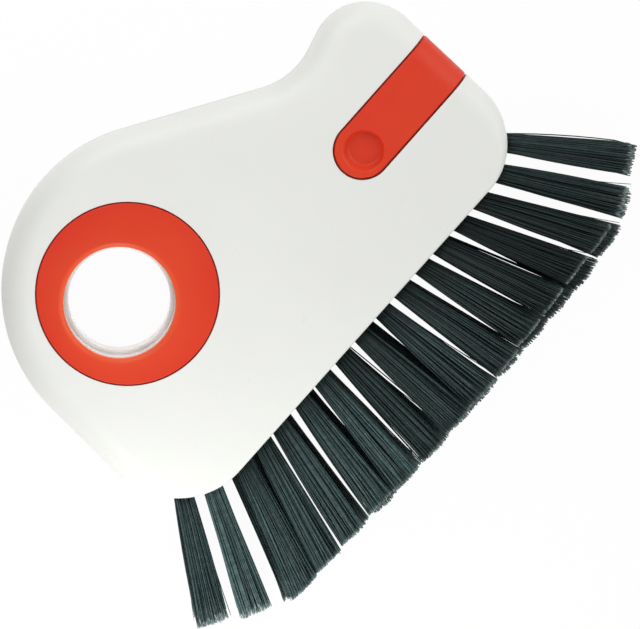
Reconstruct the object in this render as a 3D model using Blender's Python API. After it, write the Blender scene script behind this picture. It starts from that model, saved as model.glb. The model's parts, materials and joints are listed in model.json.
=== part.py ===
"""Keyboard cleaning brush: two moulded shells that hold a fan of bristle tufts.

Metres, +Z up. The brush lies on its rear face. X runs along the bristle edge
towards the tab, the bristles point to -Y, and the front face looks up. The
origin is on the rear face, level with the middle of the finger hole and near
the middle of the bristle edge. Heights named h are measured from the parting
plane towards the face of the side that is being made.
"""
import math

import bmesh
import bpy
from mathutils import Matrix, Vector

# Body outline, a belt round five circles
NOSE_REACH = 0.0607
NOSE_SETBACK = 0.0006
NOSE_RADIUS = 0.0161
HEEL_REACH = 0.0617
HEEL_STAND = 0.0013
HEEL_RADIUS = 0.0195
EDGE_DROP = 0.0467
CREST_RADIUS = 0.0128
CREST_DROP = 0.0057
SADDLE_RADIUS = 0.0179
SADDLE_SLACK = 0.0003
SADDLE_DEGREES = 112.9
PALM_RADIUS = 0.0386
PALM_DROP = 0.0068

# Body thickness, walls and edges
THICKNESS = 0.0220
WALL = 0.0020
SIDE_ROUND = 0.0065
EDGE_ROUND = 0.0010
LEAST_ROUND = 0.0005
ROUND_BLEND_DEGREES = 95.0
PARTING = 0.0003
CLEARANCE = 0.0003
OVERRUN = 0.0010

# Finger ring and bore
HOLE_RADIUS = 0.0129
HOLE_SHIFT = 0.0028
RING_BAND = 0.0083
RING_PLACE = 0.02965
RING_THICKNESS = 0.0030
RING_OUTER_ROUND = 0.0005
RING_HOLE_ROUND = 0.0024
REAR_BORE_STEP = 0.0006
REAR_RING_SINK = 0.0003
BORE_WALL = 0.0018
TUB_FLOOR = 0.0018

# Sliding tab, its recess and its carriage
TAB_LENGTH = 0.0362
TAB_WIDTH = 0.0129
TAB_DROP = 0.0185
TAB_THICKNESS = 0.0028
TAB_GAP = 0.00035
RECESS_WALL = 0.0016
DIMPLE_RIM_RADIUS = 0.00465
DIMPLE_FLOOR_RADIUS = 0.0028
DIMPLE_DEPTH = 0.0010
STEM_LENGTH = 0.0052
STEM_WIDTH = 0.0044
CARRIAGE_LENGTH = 0.0120
CARRIAGE_WIDTH = 0.0100
CARRIAGE_THICKNESS = 0.0025
CARRIAGE_BEVEL = 0.0006
TAB_SCREW_SINK = 0.0013
TAB_SCREW_HEAD_RADIUS = 0.0019
TAB_SCREW_HEAD_HEIGHT = 0.0012
TAB_SCREW_RADIUS = 0.00095
TAB_SCREW_BITE = 0.0030

# Bristle block and its mouth
MOUTH_ROOF = 0.0030
BLOCK_INSET = 0.0008
BLOCK_DEPTH = 0.0132
BLOCK_OVERHANG = 0.0047
POST_RADIUS = 0.0020
POST_INSET = 0.0112
POST_PITCH = 0.0300
POST_COUNT = 3

# Bristle tufts
TUFT_COLUMNS = 17
TUFT_PITCH = 0.00683
END_PITCH = 0.0079
END_COLUMNS = 2
TUFT_SHIFT = 0.0015
FAN_EDGE_DEGREES = 34.8
FAN_EVEN_SHARE = 0.85
FAN_POWER = 3
HEEL_LEAN_DEGREES = 2.2
ROW_SPREAD = 0.0070
ROW_SHIFT = 0.0010
ROW_SPLAY_DEGREES = 3.5
ROOT_RADIUS = 0.0022
ROOT_DEPTH = 0.0065
ROOT_STAND = 0.0005
TUFT_LENGTH = 0.0315
FLANK_EXTRA_SHARE = 0.10
REAR_EXTRA = 0.0020
TIP_GAP = 0.0009
STRAND_TIP_SHARE = 0.9
RAGGED_SHARE = 0.05
RAGGED_CYCLE = 7
RAGGED_STRAND_STRIDE = 5
RAGGED_COLUMN_STRIDE = 3
CROWN_POWER = 4
FLANK_POWER = 2

# Shell screws
SHELL_SCREW_RADIUS = 0.0013
SHELL_SCREW_HEAD_RADIUS = 0.0028
SHELL_SCREW_HEAD_HEIGHT = 0.0020
SHELL_SCREW_SEAT = 0.0040
SHELL_SCREW_REACH = 0.0060
BOSS_WALL = 0.0012
PILOT_WALL = 0.0016
TOP_SCREW_X = -0.0020
TOP_SCREW_Y = 0.0120
LOW_SCREW_X = 0.0100
LOW_SCREW_Y = -0.0240
CROWN_RADIUS_SHARE = 0.75
CROWN_HEIGHT_SHARE = 0.33
POINT_SHARE = 0.5
DRIVE_SHARE = 0.62
DRIVE_WIDTH_SHARE = 0.34
DRIVE_DEPTH_SHARE = 0.55

# Facets
ARC_STEP_DEGREES = 9.0
SHARP_DEGREES = 35.0
ROUND_STEPS = 4
EDGE_STEPS = 2
RING_SIDES = 48
DIMPLE_SIDES = 24
BOSS_SIDES = 12
POST_SIDES = 12
SCREW_SIDES = 12
ROOT_SIDES = 12
CAPSULE_STEPS = 12

# Places worked out from the sizes above
HALF = THICKNESS / 2
MIDDLE = THICKNESS / 2
FRONT = 1
REAR = -1
HEEL = Vector((HEEL_RADIUS - HEEL_REACH - HEEL_STAND, HEEL_RADIUS - EDGE_DROP))
NOSE = Vector((NOSE_REACH - NOSE_SETBACK - NOSE_RADIUS, NOSE_RADIUS - EDGE_DROP))
CREST = Vector((NOSE_REACH - CREST_RADIUS, -CREST_DROP))
PALM = Vector((PALM_RADIUS - HEEL_REACH, -PALM_DROP))
SADDLE_TURN = math.radians(SADDLE_DEGREES)
SADDLE = CREST + (CREST_RADIUS + SADDLE_RADIUS + SADDLE_SLACK) * Vector(
    (math.cos(SADDLE_TURN), math.sin(SADDLE_TURN)))
RING_X = -RING_PLACE
RING_RADIUS = HOLE_RADIUS + RING_BAND
HOLE_X = RING_X - HOLE_SHIFT
RING_TOP = {FRONT: HALF, REAR: HALF - REAR_RING_SINK}
BORE_RADIUS = {FRONT: HOLE_RADIUS, REAR: HOLE_RADIUS - REAR_BORE_STEP}
TAB_X = NOSE_REACH - TAB_LENGTH + TAB_WIDTH / 2
TAB_Y = -TAB_DROP
RECESS_DEPTH = TAB_THICKNESS + CLEARANCE
FLOOR_DEPTH = RECESS_DEPTH + RECESS_WALL
CARRIAGE_TOP = HALF - FLOOR_DEPTH - CLEARANCE
CARRIAGE_BOTTOM = CARRIAGE_TOP - CARRIAGE_THICKNESS
SLIDE_TRAVEL = NOSE_REACH - FLOOR_DEPTH - CLEARANCE - CARRIAGE_LENGTH / 2 - TAB_X - OVERRUN
BLOCK_TOP = HALF - MOUTH_ROOF - CLEARANCE
TUFT_HALF = (TUFT_COLUMNS - 1) / 2
FAN_STEP_DEGREES = FAN_EDGE_DEGREES * FAN_EVEN_SHARE / TUFT_HALF
TIP_PITCH = TUFT_PITCH + TUFT_LENGTH * math.tan(math.radians(FAN_STEP_DEGREES))
TIP_RADIUS = (TIP_PITCH - TIP_GAP) / 2
BOSS_RADIUS = SHELL_SCREW_HEAD_RADIUS + CLEARANCE + BOSS_WALL
PILOT_RADIUS = SHELL_SCREW_RADIUS + CLEARANCE
SHELL_SCREW_PLACES = (
    Vector((TOP_SCREW_X, TOP_SCREW_Y)), CREST, HEEL, Vector((LOW_SCREW_X, LOW_SCREW_Y)))


# Objects, meshes and materials

def clear_scene():
    """Take every object out of the scene."""
    for thing in list(bpy.data.objects):
        bpy.data.objects.remove(thing, do_unlink=True)


def plastic(name, colour, roughness, metallic=0.0):
    """A Principled material with one colour."""
    material = bpy.data.materials.new(name)
    material.use_nodes = True
    shader = material.node_tree.nodes["Principled BSDF"]
    shader.inputs["Base Color"].default_value = (*colour, 1.0)
    shader.inputs["Roughness"].default_value = roughness
    shader.inputs["Metallic"].default_value = metallic
    material.diffuse_color = (*colour, 1.0)
    return material


def as_object(name, bm):
    """Close a bmesh into an object with its faces pointing out."""
    bmesh.ops.recalc_face_normals(bm, faces=bm.faces[:])
    mesh = bpy.data.meshes.new(name)
    bm.to_mesh(mesh)
    bm.free()
    mesh.shade_smooth()
    mesh.set_sharp_from_angle(angle=math.radians(SHARP_DEGREES))
    thing = bpy.data.objects.new(name, mesh)
    bpy.context.scene.collection.objects.link(thing)
    return thing


def loft(name, rings):
    """A solid through rings of points, capped at both ends."""
    bm = bmesh.new()
    base = [bm.verts.new(point) for point in rings[0]]
    cap = bm.faces.new(base)
    for ring in rings[1:]:
        cap = bmesh.ops.extrude_discrete_faces(bm, faces=[cap])["faces"][0]
        for vert, point in zip(cap.verts, ring):
            vert.co = point
    base_cap = bm.faces.new(list(reversed(base)))
    sides = [face for face in bm.faces if face not in (cap, base_cap)]
    bmesh.ops.triangulate(bm, faces=sides)
    return as_object(name, bm)


def prism(name, points, low, high):
    """An outline pulled up from one height to another."""
    return loft(name, [[(x, y, z) for x, y in points] for z in (low, high)])


def cylinder(name, x, y, radius, low, high, sides):
    """An upright cylinder between two heights."""
    bm = bmesh.new()
    bmesh.ops.create_cone(bm, cap_ends=True, segments=sides, radius1=radius, radius2=radius,
                          depth=high - low, matrix=Matrix.Translation((x, y, (low + high) / 2)))
    return as_object(name, bm)


def turned(name, x, y, profile, sides):
    """A solid round the vertical through x, y, from pairs of radius and height."""
    turns = [2 * math.pi * step / sides for step in range(sides)]
    return loft(name, [[(x + radius * math.cos(turn), y + radius * math.sin(turn), z)
                        for turn in turns] for radius, z in profile])


def combine(target, tool, operation):
    """Cut, join or trim the target with a tool, which is then only a guide."""
    modifier = target.modifiers.new(f"{operation.lower()} {tool.name}", "BOOLEAN")
    modifier.operation = operation
    modifier.solver = "EXACT"
    modifier.object = tool
    tool.hide_render = True
    tool.display_type = "WIRE"


def cut(target, tool):
    """Take the tool's space away from the target."""
    combine(target, tool, "DIFFERENCE")


def join(target, tool):
    """Make the tool's space part of the target."""
    combine(target, tool, "UNION")


def trim(target, tool):
    """Keep only what the target shares with the tool."""
    combine(target, tool, "INTERSECT")


def stand(thing, place, turn):
    """Put an object at a place, turned by a quaternion."""
    thing.rotation_mode = "QUATERNION"
    thing.location = place
    thing.rotation_quaternion = turn


def level(side, h):
    """World height of h on one side of the parting plane."""
    return MIDDLE + side * h


def span(side, low, high):
    """World heights, lowest first, of two heights on one side."""
    return sorted((level(side, low), level(side, high)))


# Outline of the body

def arc_angles(start, end, turn):
    """Angles from start to end, turning one way, a facet apart."""
    sweep = (end - start) % (2 * math.pi) if turn > 0 else -((start - end) % (2 * math.pi))
    count = max(1, round(abs(sweep) / math.radians(ARC_STEP_DEGREES)))
    return [start + sweep * step / count for step in range(count + 1)]


def outline():
    """Stations round the body: pairs of a point and the normal that points out there."""
    belt = ((HEEL, HEEL_RADIUS, 1), (NOSE, NOSE_RADIUS, 1), (CREST, CREST_RADIUS, 1),
            (SADDLE, SADDLE_RADIUS, -1), (PALM, PALM_RADIUS, 1))
    leaving = []
    for (here, radius, turn), (there, next_radius, next_turn) in zip(belt, belt[1:] + belt[:1]):
        step = there - here
        share = (turn * radius - next_turn * next_radius) / step.length
        leaving.append(math.atan2(step.y, step.x) - math.acos(max(-1.0, min(1.0, share))))
    stations = []
    for index, (centre, radius, turn) in enumerate(belt):
        for angle in arc_angles(leaving[index - 1], leaving[index], turn):
            normal = Vector((math.cos(angle), math.sin(angle)))
            stations.append((centre + turn * radius * normal, normal))
    return stations


STATIONS = outline()


def corner_round(normal):
    """Radius of the rounded edge: small along the bristles, full round the grip."""
    lean = math.acos(max(-1.0, min(1.0, -normal.y)))
    share = min(1.0, lean / math.radians(ROUND_BLEND_DEGREES))
    return EDGE_ROUND + (SIDE_ROUND - EDGE_ROUND) * share * share * (3 - 2 * share)


def body_core(name, side, inset, start):
    """Half of the body, drawn in by an inset, from a start height to its face."""
    rings = [[(*(point - inset * normal), level(side, start)) for point, normal in STATIONS]]
    for step in range(ROUND_STEPS + 1):
        turn = math.pi / 2 * step / ROUND_STEPS
        ring = []
        for point, normal in STATIONS:
            radius = max(corner_round(normal) - inset, LEAST_ROUND)
            inward = inset + radius * (1 - math.cos(turn))
            h = HALF - inset - radius * (1 - math.sin(turn))
            ring.append((*(point - inward * normal), level(side, h)))
        rings.append(ring)
    return loft(name, rings)


def edge_station(along):
    """Point and outward normal on the bristle edge, at a length along it from x = 0."""
    if along < HEEL.x:
        centre, radius = HEEL, HEEL_RADIUS
    elif along > NOSE.x:
        centre, radius = NOSE, NOSE_RADIUS
    else:
        return Vector((along, -EDGE_DROP)), Vector((0, -1))
    turn = (along - centre.x) / radius
    normal = Vector((math.sin(turn), -math.cos(turn)))
    return centre + radius * normal, normal


def tuft_along(column):
    """Length along the bristle edge at which a column of tufts stands, wider at the ends."""
    steps = column - TUFT_HALF
    wide_steps = max(0, abs(steps) - TUFT_HALF + END_COLUMNS)
    return (steps * TUFT_PITCH + math.copysign(wide_steps, steps) * (END_PITCH - TUFT_PITCH)
            - TUFT_SHIFT)


def tuft_fan(column):
    """Angle at which a column of tufts stands, in radians; the first leans out a little more."""
    outward = (column - TUFT_HALF) / TUFT_HALF
    share = FAN_EVEN_SHARE * outward + (1 - FAN_EVEN_SHARE) * outward ** FAN_POWER
    heel_lean = 0 if column else HEEL_LEAN_DEGREES
    return math.radians(FAN_EDGE_DEGREES * share - heel_lean)


def flank_share(column):
    """How much longer a tuft is than the middle one, so that the tips end near a straight line."""
    outward = abs(column - TUFT_HALF)
    if outward > TUFT_HALF - END_COLUMNS:
        return 0
    return FLANK_EXTRA_SHARE * (outward / TUFT_HALF) ** FLANK_POWER


def rear_crown(column, side):
    """How much of the rear row's extra a tuft gets: all in the middle, none at the ends."""
    return 1 - (abs(column - TUFT_HALF) / TUFT_HALF) ** CROWN_POWER if side == REAR else 0


def edge_band(name, outer_inset, inner_inset, overhang, low, high):
    """A band along the bristle edge, past the end tufts by an overhang."""
    first = tuft_along(0) - overhang
    last = tuft_along(TUFT_COLUMNS - 1) + overhang
    turn = math.radians(ARC_STEP_DEGREES)
    heel_steps = max(1, round((HEEL.x - first) / (HEEL_RADIUS * turn)))
    nose_steps = max(1, round((last - NOSE.x) / (NOSE_RADIUS * turn)))
    places = [first + (HEEL.x - first) * step / heel_steps for step in range(heel_steps + 1)]
    places += [NOSE.x + (last - NOSE.x) * step / nose_steps for step in range(nose_steps + 1)]
    stations = [edge_station(place) for place in places]
    outer = [point - outer_inset * normal for point, normal in stations]
    inner = [point - inner_inset * normal for point, normal in reversed(stations)]
    return prism(name, outer + inner, low, high)


# Shells

def capsule(name, grow, low, high):
    """The tab's outline, round at one end, run out past the nose."""
    radius = TAB_WIDTH / 2 + grow
    turns = [math.pi / 2 + math.pi * step / CAPSULE_STEPS for step in range(CAPSULE_STEPS + 1)]
    points = [(TAB_X + radius * math.cos(turn), TAB_Y + radius * math.sin(turn)) for turn in turns]
    far = NOSE_REACH + OVERRUN
    points += [(far, TAB_Y - radius), (far, TAB_Y + radius)]
    return prism(name, points, low, high)


def half_shell(name, side, material):
    """One moulded half: wall, ring seat, bore, block roof and screw bosses."""
    shell = body_core(name, side, 0, PARTING / 2)
    shell.data.materials.append(material)
    cut(shell, body_core(f"{name} cavity", side, WALL, -OVERRUN))

    seat = RING_TOP[side] - RING_THICKNESS - CLEARANCE
    tub_radius = RING_RADIUS + CLEARANCE + TUB_FLOOR
    join(shell, cylinder(f"{name} ring tub", RING_X, 0, tub_radius,
                         *span(side, seat - TUB_FLOOR, HALF - WALL / 2), RING_SIDES))
    join(shell, cylinder(f"{name} bore tube", HOLE_X, 0, BORE_RADIUS[side] + BORE_WALL,
                         *span(side, PARTING / 2, seat - TUB_FLOOR / 2), RING_SIDES))
    roof_depth = BLOCK_INSET + BLOCK_DEPTH + CLEARANCE
    roof = edge_band(f"{name} block roof", -OVERRUN, roof_depth, BLOCK_OVERHANG,
                     *span(side, HALF - MOUTH_ROOF, HALF + OVERRUN))
    trim(roof, body_core(f"{name} roof skin", side, WALL / 2, PARTING / 2))
    join(shell, roof)
    for index, place in enumerate(SHELL_SCREW_PLACES):
        radius = BOSS_RADIUS if side == REAR else PILOT_RADIUS + PILOT_WALL
        join(shell, cylinder(f"{name} boss {index}", place.x, place.y, radius,
                             *span(side, PARTING / 2, HALF - WALL / 2), BOSS_SIDES))

    cut(shell, cylinder(f"{name} ring seat", RING_X, 0, RING_RADIUS + CLEARANCE,
                        *span(side, seat, HALF + OVERRUN), RING_SIDES))
    cut(shell, cylinder(f"{name} bore", HOLE_X, 0, BORE_RADIUS[side],
                        *span(side, -OVERRUN, HALF), RING_SIDES))
    cut(shell, edge_band(f"{name} mouth", -OVERRUN, WALL + OVERRUN, BLOCK_OVERHANG + CLEARANCE,
                         *span(side, -OVERRUN, HALF - MOUTH_ROOF)))
    return shell


def front_shell(material):
    """The front half, with the tab's recess, its slot and the pilot holes."""
    shell = half_shell("front_shell", FRONT, material)
    tub = capsule("recess tub", TAB_GAP + RECESS_WALL, *span(FRONT, PARTING / 2, HALF + OVERRUN))
    trim(tub, body_core("recess tub skin", FRONT, WALL / 2, PARTING / 2))
    cut(tub, body_core("recess tub hollow", FRONT, FLOOR_DEPTH, -OVERRUN))
    join(shell, tub)

    recess = capsule("recess", TAB_GAP, *span(FRONT, -OVERRUN, HALF + OVERRUN))
    cut(recess, body_core("recess floor", FRONT, RECESS_DEPTH, -OVERRUN * 2))
    cut(shell, recess)
    half_slot = STEM_WIDTH / 2 + TAB_GAP
    slot_start = TAB_X - STEM_LENGTH / 2 - TAB_GAP
    slot_end = TAB_X + STEM_LENGTH / 2 + SLIDE_TRAVEL + TAB_GAP
    slot = [(slot_start, TAB_Y - half_slot), (slot_end, TAB_Y - half_slot),
            (slot_end, TAB_Y + half_slot), (slot_start, TAB_Y + half_slot)]
    cut(shell, prism("stem slot", slot, *span(FRONT, HALF - FLOOR_DEPTH - OVERRUN,
                                               HALF - RECESS_DEPTH + OVERRUN)))
    for index, place in enumerate(SHELL_SCREW_PLACES):
        cut(shell, cylinder(f"pilot {index}", place.x, place.y, PILOT_RADIUS,
                            *span(FRONT, -OVERRUN, SHELL_SCREW_REACH + CLEARANCE), SCREW_SIDES))
    return shell


def rear_shell(material):
    """The rear half, with the posts for the block and the screws' counterbores."""
    shell = half_shell("rear_shell", REAR, material)
    for index in range(POST_COUNT):
        join(shell, cylinder(f"post {index}", post_x(index), POST_INSET - EDGE_DROP, POST_RADIUS,
                             level(REAR, HALF - WALL / 2), level(FRONT, BLOCK_TOP), POST_SIDES))
    for index, place in enumerate(SHELL_SCREW_PLACES):
        head = SHELL_SCREW_HEAD_RADIUS + CLEARANCE
        cut(shell, cylinder(f"counterbore {index}", place.x, place.y, head,
                            *span(REAR, HALF - SHELL_SCREW_SEAT, HALF + OVERRUN), SCREW_SIDES))
        cut(shell, cylinder(f"screw way {index}", place.x, place.y, PILOT_RADIUS,
                            *span(REAR, -OVERRUN, HALF - SHELL_SCREW_SEAT + OVERRUN), SCREW_SIDES))
    return shell


def post_x(index):
    """Where along the bristle edge a post of the rear shell stands."""
    return (index - (POST_COUNT - 1) / 2) * POST_PITCH


# Finger rings

def finger_ring(name, side, material):
    """A flat ring with a soft outer edge and a deep round into its off-centre hole."""
    top = RING_TOP[side]
    bottom = top - RING_THICKNESS
    profile = [(RING_RADIUS, bottom)]
    for step in range(EDGE_STEPS + 1):
        turn = math.pi / 2 * step / EDGE_STEPS
        profile.append((RING_RADIUS - RING_OUTER_ROUND * (1 - math.cos(turn)),
                        top - RING_OUTER_ROUND * (1 - math.sin(turn))))
    ring = turned(name, RING_X, 0, [(radius, level(side, h)) for radius, h in profile], RING_SIDES)
    ring.data.materials.append(material)
    hole = [(HOLE_RADIUS, bottom - OVERRUN)]
    for step in range(ROUND_STEPS + 1):
        turn = math.pi / 2 * step / ROUND_STEPS
        hole.append((HOLE_RADIUS + RING_HOLE_ROUND * (1 - math.cos(turn)),
                     top - RING_HOLE_ROUND * (1 - math.sin(turn))))
    hole.append((HOLE_RADIUS + RING_HOLE_ROUND, top + OVERRUN))
    cut(ring, turned(f"{name} hole", HOLE_X, 0, [(radius, level(side, h)) for radius, h in hole],
                     RING_SIDES))
    return ring


# Sliding tab

def slider_tab(material):
    """The tab: a skin of the body's own shape, with a thumb dimple and a stem."""
    tab = capsule("slider_tab", 0, *span(FRONT, CLEARANCE, HALF + OVERRUN))
    tab.data.materials.append(material)
    trim(tab, body_core("tab skin", FRONT, 0, PARTING / 2))
    cut(tab, body_core("tab hollow", FRONT, TAB_THICKNESS, -OVERRUN))
    stem_bottom = HALF - FLOOR_DEPTH
    corners = [(TAB_X + along * STEM_LENGTH / 2, TAB_Y + across * STEM_WIDTH / 2)
               for along, across in ((-1, -1), (1, -1), (1, 1), (-1, 1))]
    stem_top = HALF - TAB_THICKNESS + CLEARANCE
    join(tab, prism("tab stem", corners, *span(FRONT, stem_bottom, stem_top)))
    slope = (DIMPLE_RIM_RADIUS - DIMPLE_FLOOR_RADIUS) / DIMPLE_DEPTH
    dimple = [(DIMPLE_FLOOR_RADIUS, HALF - DIMPLE_DEPTH), (DIMPLE_RIM_RADIUS, HALF),
              (DIMPLE_RIM_RADIUS + slope * OVERRUN, HALF + OVERRUN)]
    cut(tab, turned("thumb dimple", TAB_X, TAB_Y, [(radius, level(FRONT, h)) for radius, h in dimple],
                    DIMPLE_SIDES))
    cut(tab, cylinder("stem pilot", TAB_X, TAB_Y, TAB_SCREW_RADIUS + CLEARANCE,
                      *span(FRONT, stem_bottom - OVERRUN, stem_bottom + TAB_SCREW_BITE),
                      SCREW_SIDES))
    return tab


def slider_carriage(material):
    """The plate under the recess floor that keeps the tab in its slot."""
    bm = bmesh.new()
    size = Matrix.Diagonal((CARRIAGE_LENGTH, CARRIAGE_WIDTH, CARRIAGE_THICKNESS, 1))
    centre = Vector((TAB_X, TAB_Y, level(FRONT, (CARRIAGE_TOP + CARRIAGE_BOTTOM) / 2)))
    bmesh.ops.create_cube(bm, size=1, matrix=Matrix.Translation(centre) @ size)
    bmesh.ops.bevel(bm, geom=bm.edges[:], offset=CARRIAGE_BEVEL, segments=1, profile=0.5,
                    affect="EDGES", material=-1)
    carriage = as_object("slider_carriage", bm)
    carriage.data.materials.append(material)
    cut(carriage, cylinder("carriage way", TAB_X, TAB_Y, TAB_SCREW_RADIUS + CLEARANCE,
                           *span(FRONT, CARRIAGE_BOTTOM - OVERRUN, CARRIAGE_TOP + OVERRUN),
                           SCREW_SIDES))
    cut(carriage, cylinder("carriage counterbore", TAB_X, TAB_Y, TAB_SCREW_HEAD_RADIUS + CLEARANCE,
                           *span(FRONT, CARRIAGE_BOTTOM - OVERRUN, CARRIAGE_BOTTOM + TAB_SCREW_SINK),
                           SCREW_SIDES))
    return carriage


# Screws

def screw(name, place, seat, tip, radius, head_radius, head_height, material):
    """A pan-head screw that points up, with a cross drive in the underside of its head."""
    low = seat - head_height
    profile = [(head_radius * CROWN_RADIUS_SHARE, low),
               (head_radius, low + head_height * CROWN_HEIGHT_SHARE), (head_radius, seat),
               (radius, seat), (radius, tip - radius), (radius * POINT_SHARE, tip)]
    piece = turned(name, place.x, place.y, profile, SCREW_SIDES)
    piece.data.materials.append(material)
    arm = head_radius * DRIVE_SHARE
    half = arm * DRIVE_WIDTH_SHARE
    quarter = [Vector((arm, -half)), Vector((arm, half)), Vector((half, half))]
    cross = [place + Matrix.Rotation(math.pi / 2 * turn, 2) @ corner
             for turn in range(4) for corner in quarter]
    cut(piece, prism(f"{name} drive", cross, low - OVERRUN, low + head_height * DRIVE_DEPTH_SHARE))
    return piece


# Bristles

def tuft_frame(column, side):
    """Where a tuft leaves the block and which way it points."""
    point, normal = edge_station(tuft_along(column) + ROW_SHIFT * rear_crown(column, side))
    point = point - BLOCK_INSET * normal
    fan = tuft_fan(column)
    splay = math.radians(ROW_SPLAY_DEGREES)
    way = Vector((math.sin(fan) * math.cos(splay), -math.cos(fan) * math.cos(splay),
                  side * math.sin(splay)))
    place = Vector((point.x, point.y, level(side, ROW_SPREAD / 2)))
    return place, way.to_track_quat("Z", "Y")


def points_up(face):
    """True for every other triangle of the root's face, so that no two strands share a side."""
    centre = face.calc_center_median()
    corner = face.verts[0].co - centre
    return math.cos(3 * math.atan2(corner.y, corner.x)) > 0


def tuft(column, side, material):
    """A root in its hole and the twelve strands that fan out of it."""
    row = "front" if side == FRONT else "rear"
    bm = bmesh.new()
    bmesh.ops.create_circle(bm, cap_ends=True, cap_tris=True, segments=6, radius=ROOT_RADIUS)
    bmesh.ops.subdivide_edges(bm, edges=bm.edges[:], cuts=1, use_grid_fill=True)
    strands = [face for face in bm.faces if points_up(face)]
    for vert in bm.verts:
        if vert.is_boundary:
            vert.co *= ROOT_RADIUS / vert.co.length
    grown = bmesh.ops.extrude_face_region(bm, geom=bm.faces[:], use_keep_orig=True)["geom"]
    bmesh.ops.translate(bm, vec=(0, 0, -ROOT_DEPTH - ROOT_STAND),
                        verts=[item for item in grown if isinstance(item, bmesh.types.BMVert)])
    bmesh.ops.dissolve_faces(
        bm, faces=[item for item in grown if isinstance(item, bmesh.types.BMFace)])
    bmesh.ops.translate(bm, vec=(0, 0, ROOT_STAND), verts=bm.verts[:])

    reach = (TUFT_LENGTH * (1 + flank_share(column)) + REAR_EXTRA * rear_crown(column, side)
             - ROOT_STAND)
    tips = bmesh.ops.extrude_discrete_faces(bm, faces=strands)["faces"]
    centres = [tip.calc_center_median().xy for tip in tips]
    outermost = max(centre.length for centre in centres)
    thickness = max((vert.co.xy - centre).length for tip, centre in zip(tips, centres)
                    for vert in tip.verts) * STRAND_TIP_SHARE
    full_spread = (TIP_RADIUS - thickness) / outermost
    for index, (tip, centre) in enumerate(zip(tips, centres)):
        place = (index * RAGGED_STRAND_STRIDE + column * RAGGED_COLUMN_STRIDE) % RAGGED_CYCLE
        length = reach * (1 - RAGGED_SHARE * place / RAGGED_CYCLE)
        spread = 1 + (full_spread - 1) * length / reach
        for vert in tip.verts:
            x, y = centre * spread + (vert.co.xy - centre) * STRAND_TIP_SHARE
            vert.co = (x, y, ROOT_STAND + length)
    piece = as_object(f"tuft_{row}_{column + 1:02d}", bm)
    piece.data.materials.append(material)
    stand(piece, *tuft_frame(column, side))
    return piece


def bristle_block(material):
    """The curved block that holds the roots, with a hole for each tuft and each post."""
    block = edge_band("bristle_block", BLOCK_INSET, BLOCK_INSET + BLOCK_DEPTH, BLOCK_OVERHANG,
                      level(REAR, BLOCK_TOP), level(FRONT, BLOCK_TOP))
    block.data.materials.append(material)
    for index in range(POST_COUNT):
        cut(block, cylinder(f"post hole {index}", post_x(index), POST_INSET - EDGE_DROP,
                            POST_RADIUS + CLEARANCE, level(REAR, HALF), level(FRONT, HALF),
                            POST_SIDES))
    for side in (FRONT, REAR):
        for column in range(TUFT_COLUMNS):
            hole = cylinder(f"root hole {side} {column}", 0, 0, ROOT_RADIUS + CLEARANCE,
                            -ROOT_DEPTH - CLEARANCE, ROOT_RADIUS + OVERRUN, ROOT_SIDES)
            stand(hole, *tuft_frame(column, side))
            cut(block, hole)
    return block


def carry(name, place, pieces):
    """Parent pieces to an empty at a place, without moving them."""
    empty = bpy.data.objects.new(name, None)
    bpy.context.scene.collection.objects.link(empty)
    empty.location = place
    for piece in pieces:
        piece.parent = empty
        piece.matrix_parent_inverse = Matrix.Translation(-Vector(place))


def build():
    """Make every piece of the brush."""
    clear_scene()
    white = plastic("white plastic", (0.78, 0.79, 0.76), 0.42)
    pale = plastic("pale grey plastic", (0.62, 0.64, 0.62), 0.5)
    orange = plastic("orange red plastic", (0.72, 0.07, 0.03), 0.45)
    slate = plastic("slate nylon", (0.018, 0.03, 0.03), 0.4)
    steel = plastic("screw steel", (0.55, 0.55, 0.56), 0.3, 1.0)

    front_shell(white)
    rear_shell(white)
    finger_ring("front_finger_ring", FRONT, orange)
    finger_ring("rear_finger_ring", REAR, orange)
    bristle_block(pale)
    for side in (FRONT, REAR):
        for column in range(TUFT_COLUMNS):
            tuft(column, side, slate)
    for index, place in enumerate(SHELL_SCREW_PLACES):
        screw(f"shell_screw_{index + 1}", place, level(REAR, HALF - SHELL_SCREW_SEAT + CLEARANCE),
              level(FRONT, SHELL_SCREW_REACH), SHELL_SCREW_RADIUS, SHELL_SCREW_HEAD_RADIUS,
              SHELL_SCREW_HEAD_HEIGHT, steel)

    tab_seat = level(FRONT, CARRIAGE_BOTTOM + TAB_SCREW_SINK - CLEARANCE)
    tab_tip = level(FRONT, HALF - FLOOR_DEPTH + TAB_SCREW_BITE - CLEARANCE)
    carry("slide axis", (TAB_X, TAB_Y, level(FRONT, HALF)), (
        slider_tab(orange),
        slider_carriage(pale),
        screw("slider_screw", Vector((TAB_X, TAB_Y)), tab_seat, tab_tip, TAB_SCREW_RADIUS,
              TAB_SCREW_HEAD_RADIUS, TAB_SCREW_HEAD_HEIGHT, steel)))


build()
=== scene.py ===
"""Looks of a keyboard cleaning brush: its moulded shells, rings and tab, and its bristles one by one.

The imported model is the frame, in metres, +Z up. X runs along the bristle edge towards the
nose, the bristles point to -Y and the front face looks up. Heights named h are measured
from the parting plane towards the face of the side that is being made.
"""
import json
import logging
import math
import random
from dataclasses import dataclass, field
from enum import Enum
from typing import Iterable, Sequence

import bmesh
import bpy
from mathutils import Matrix, Vector


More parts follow.
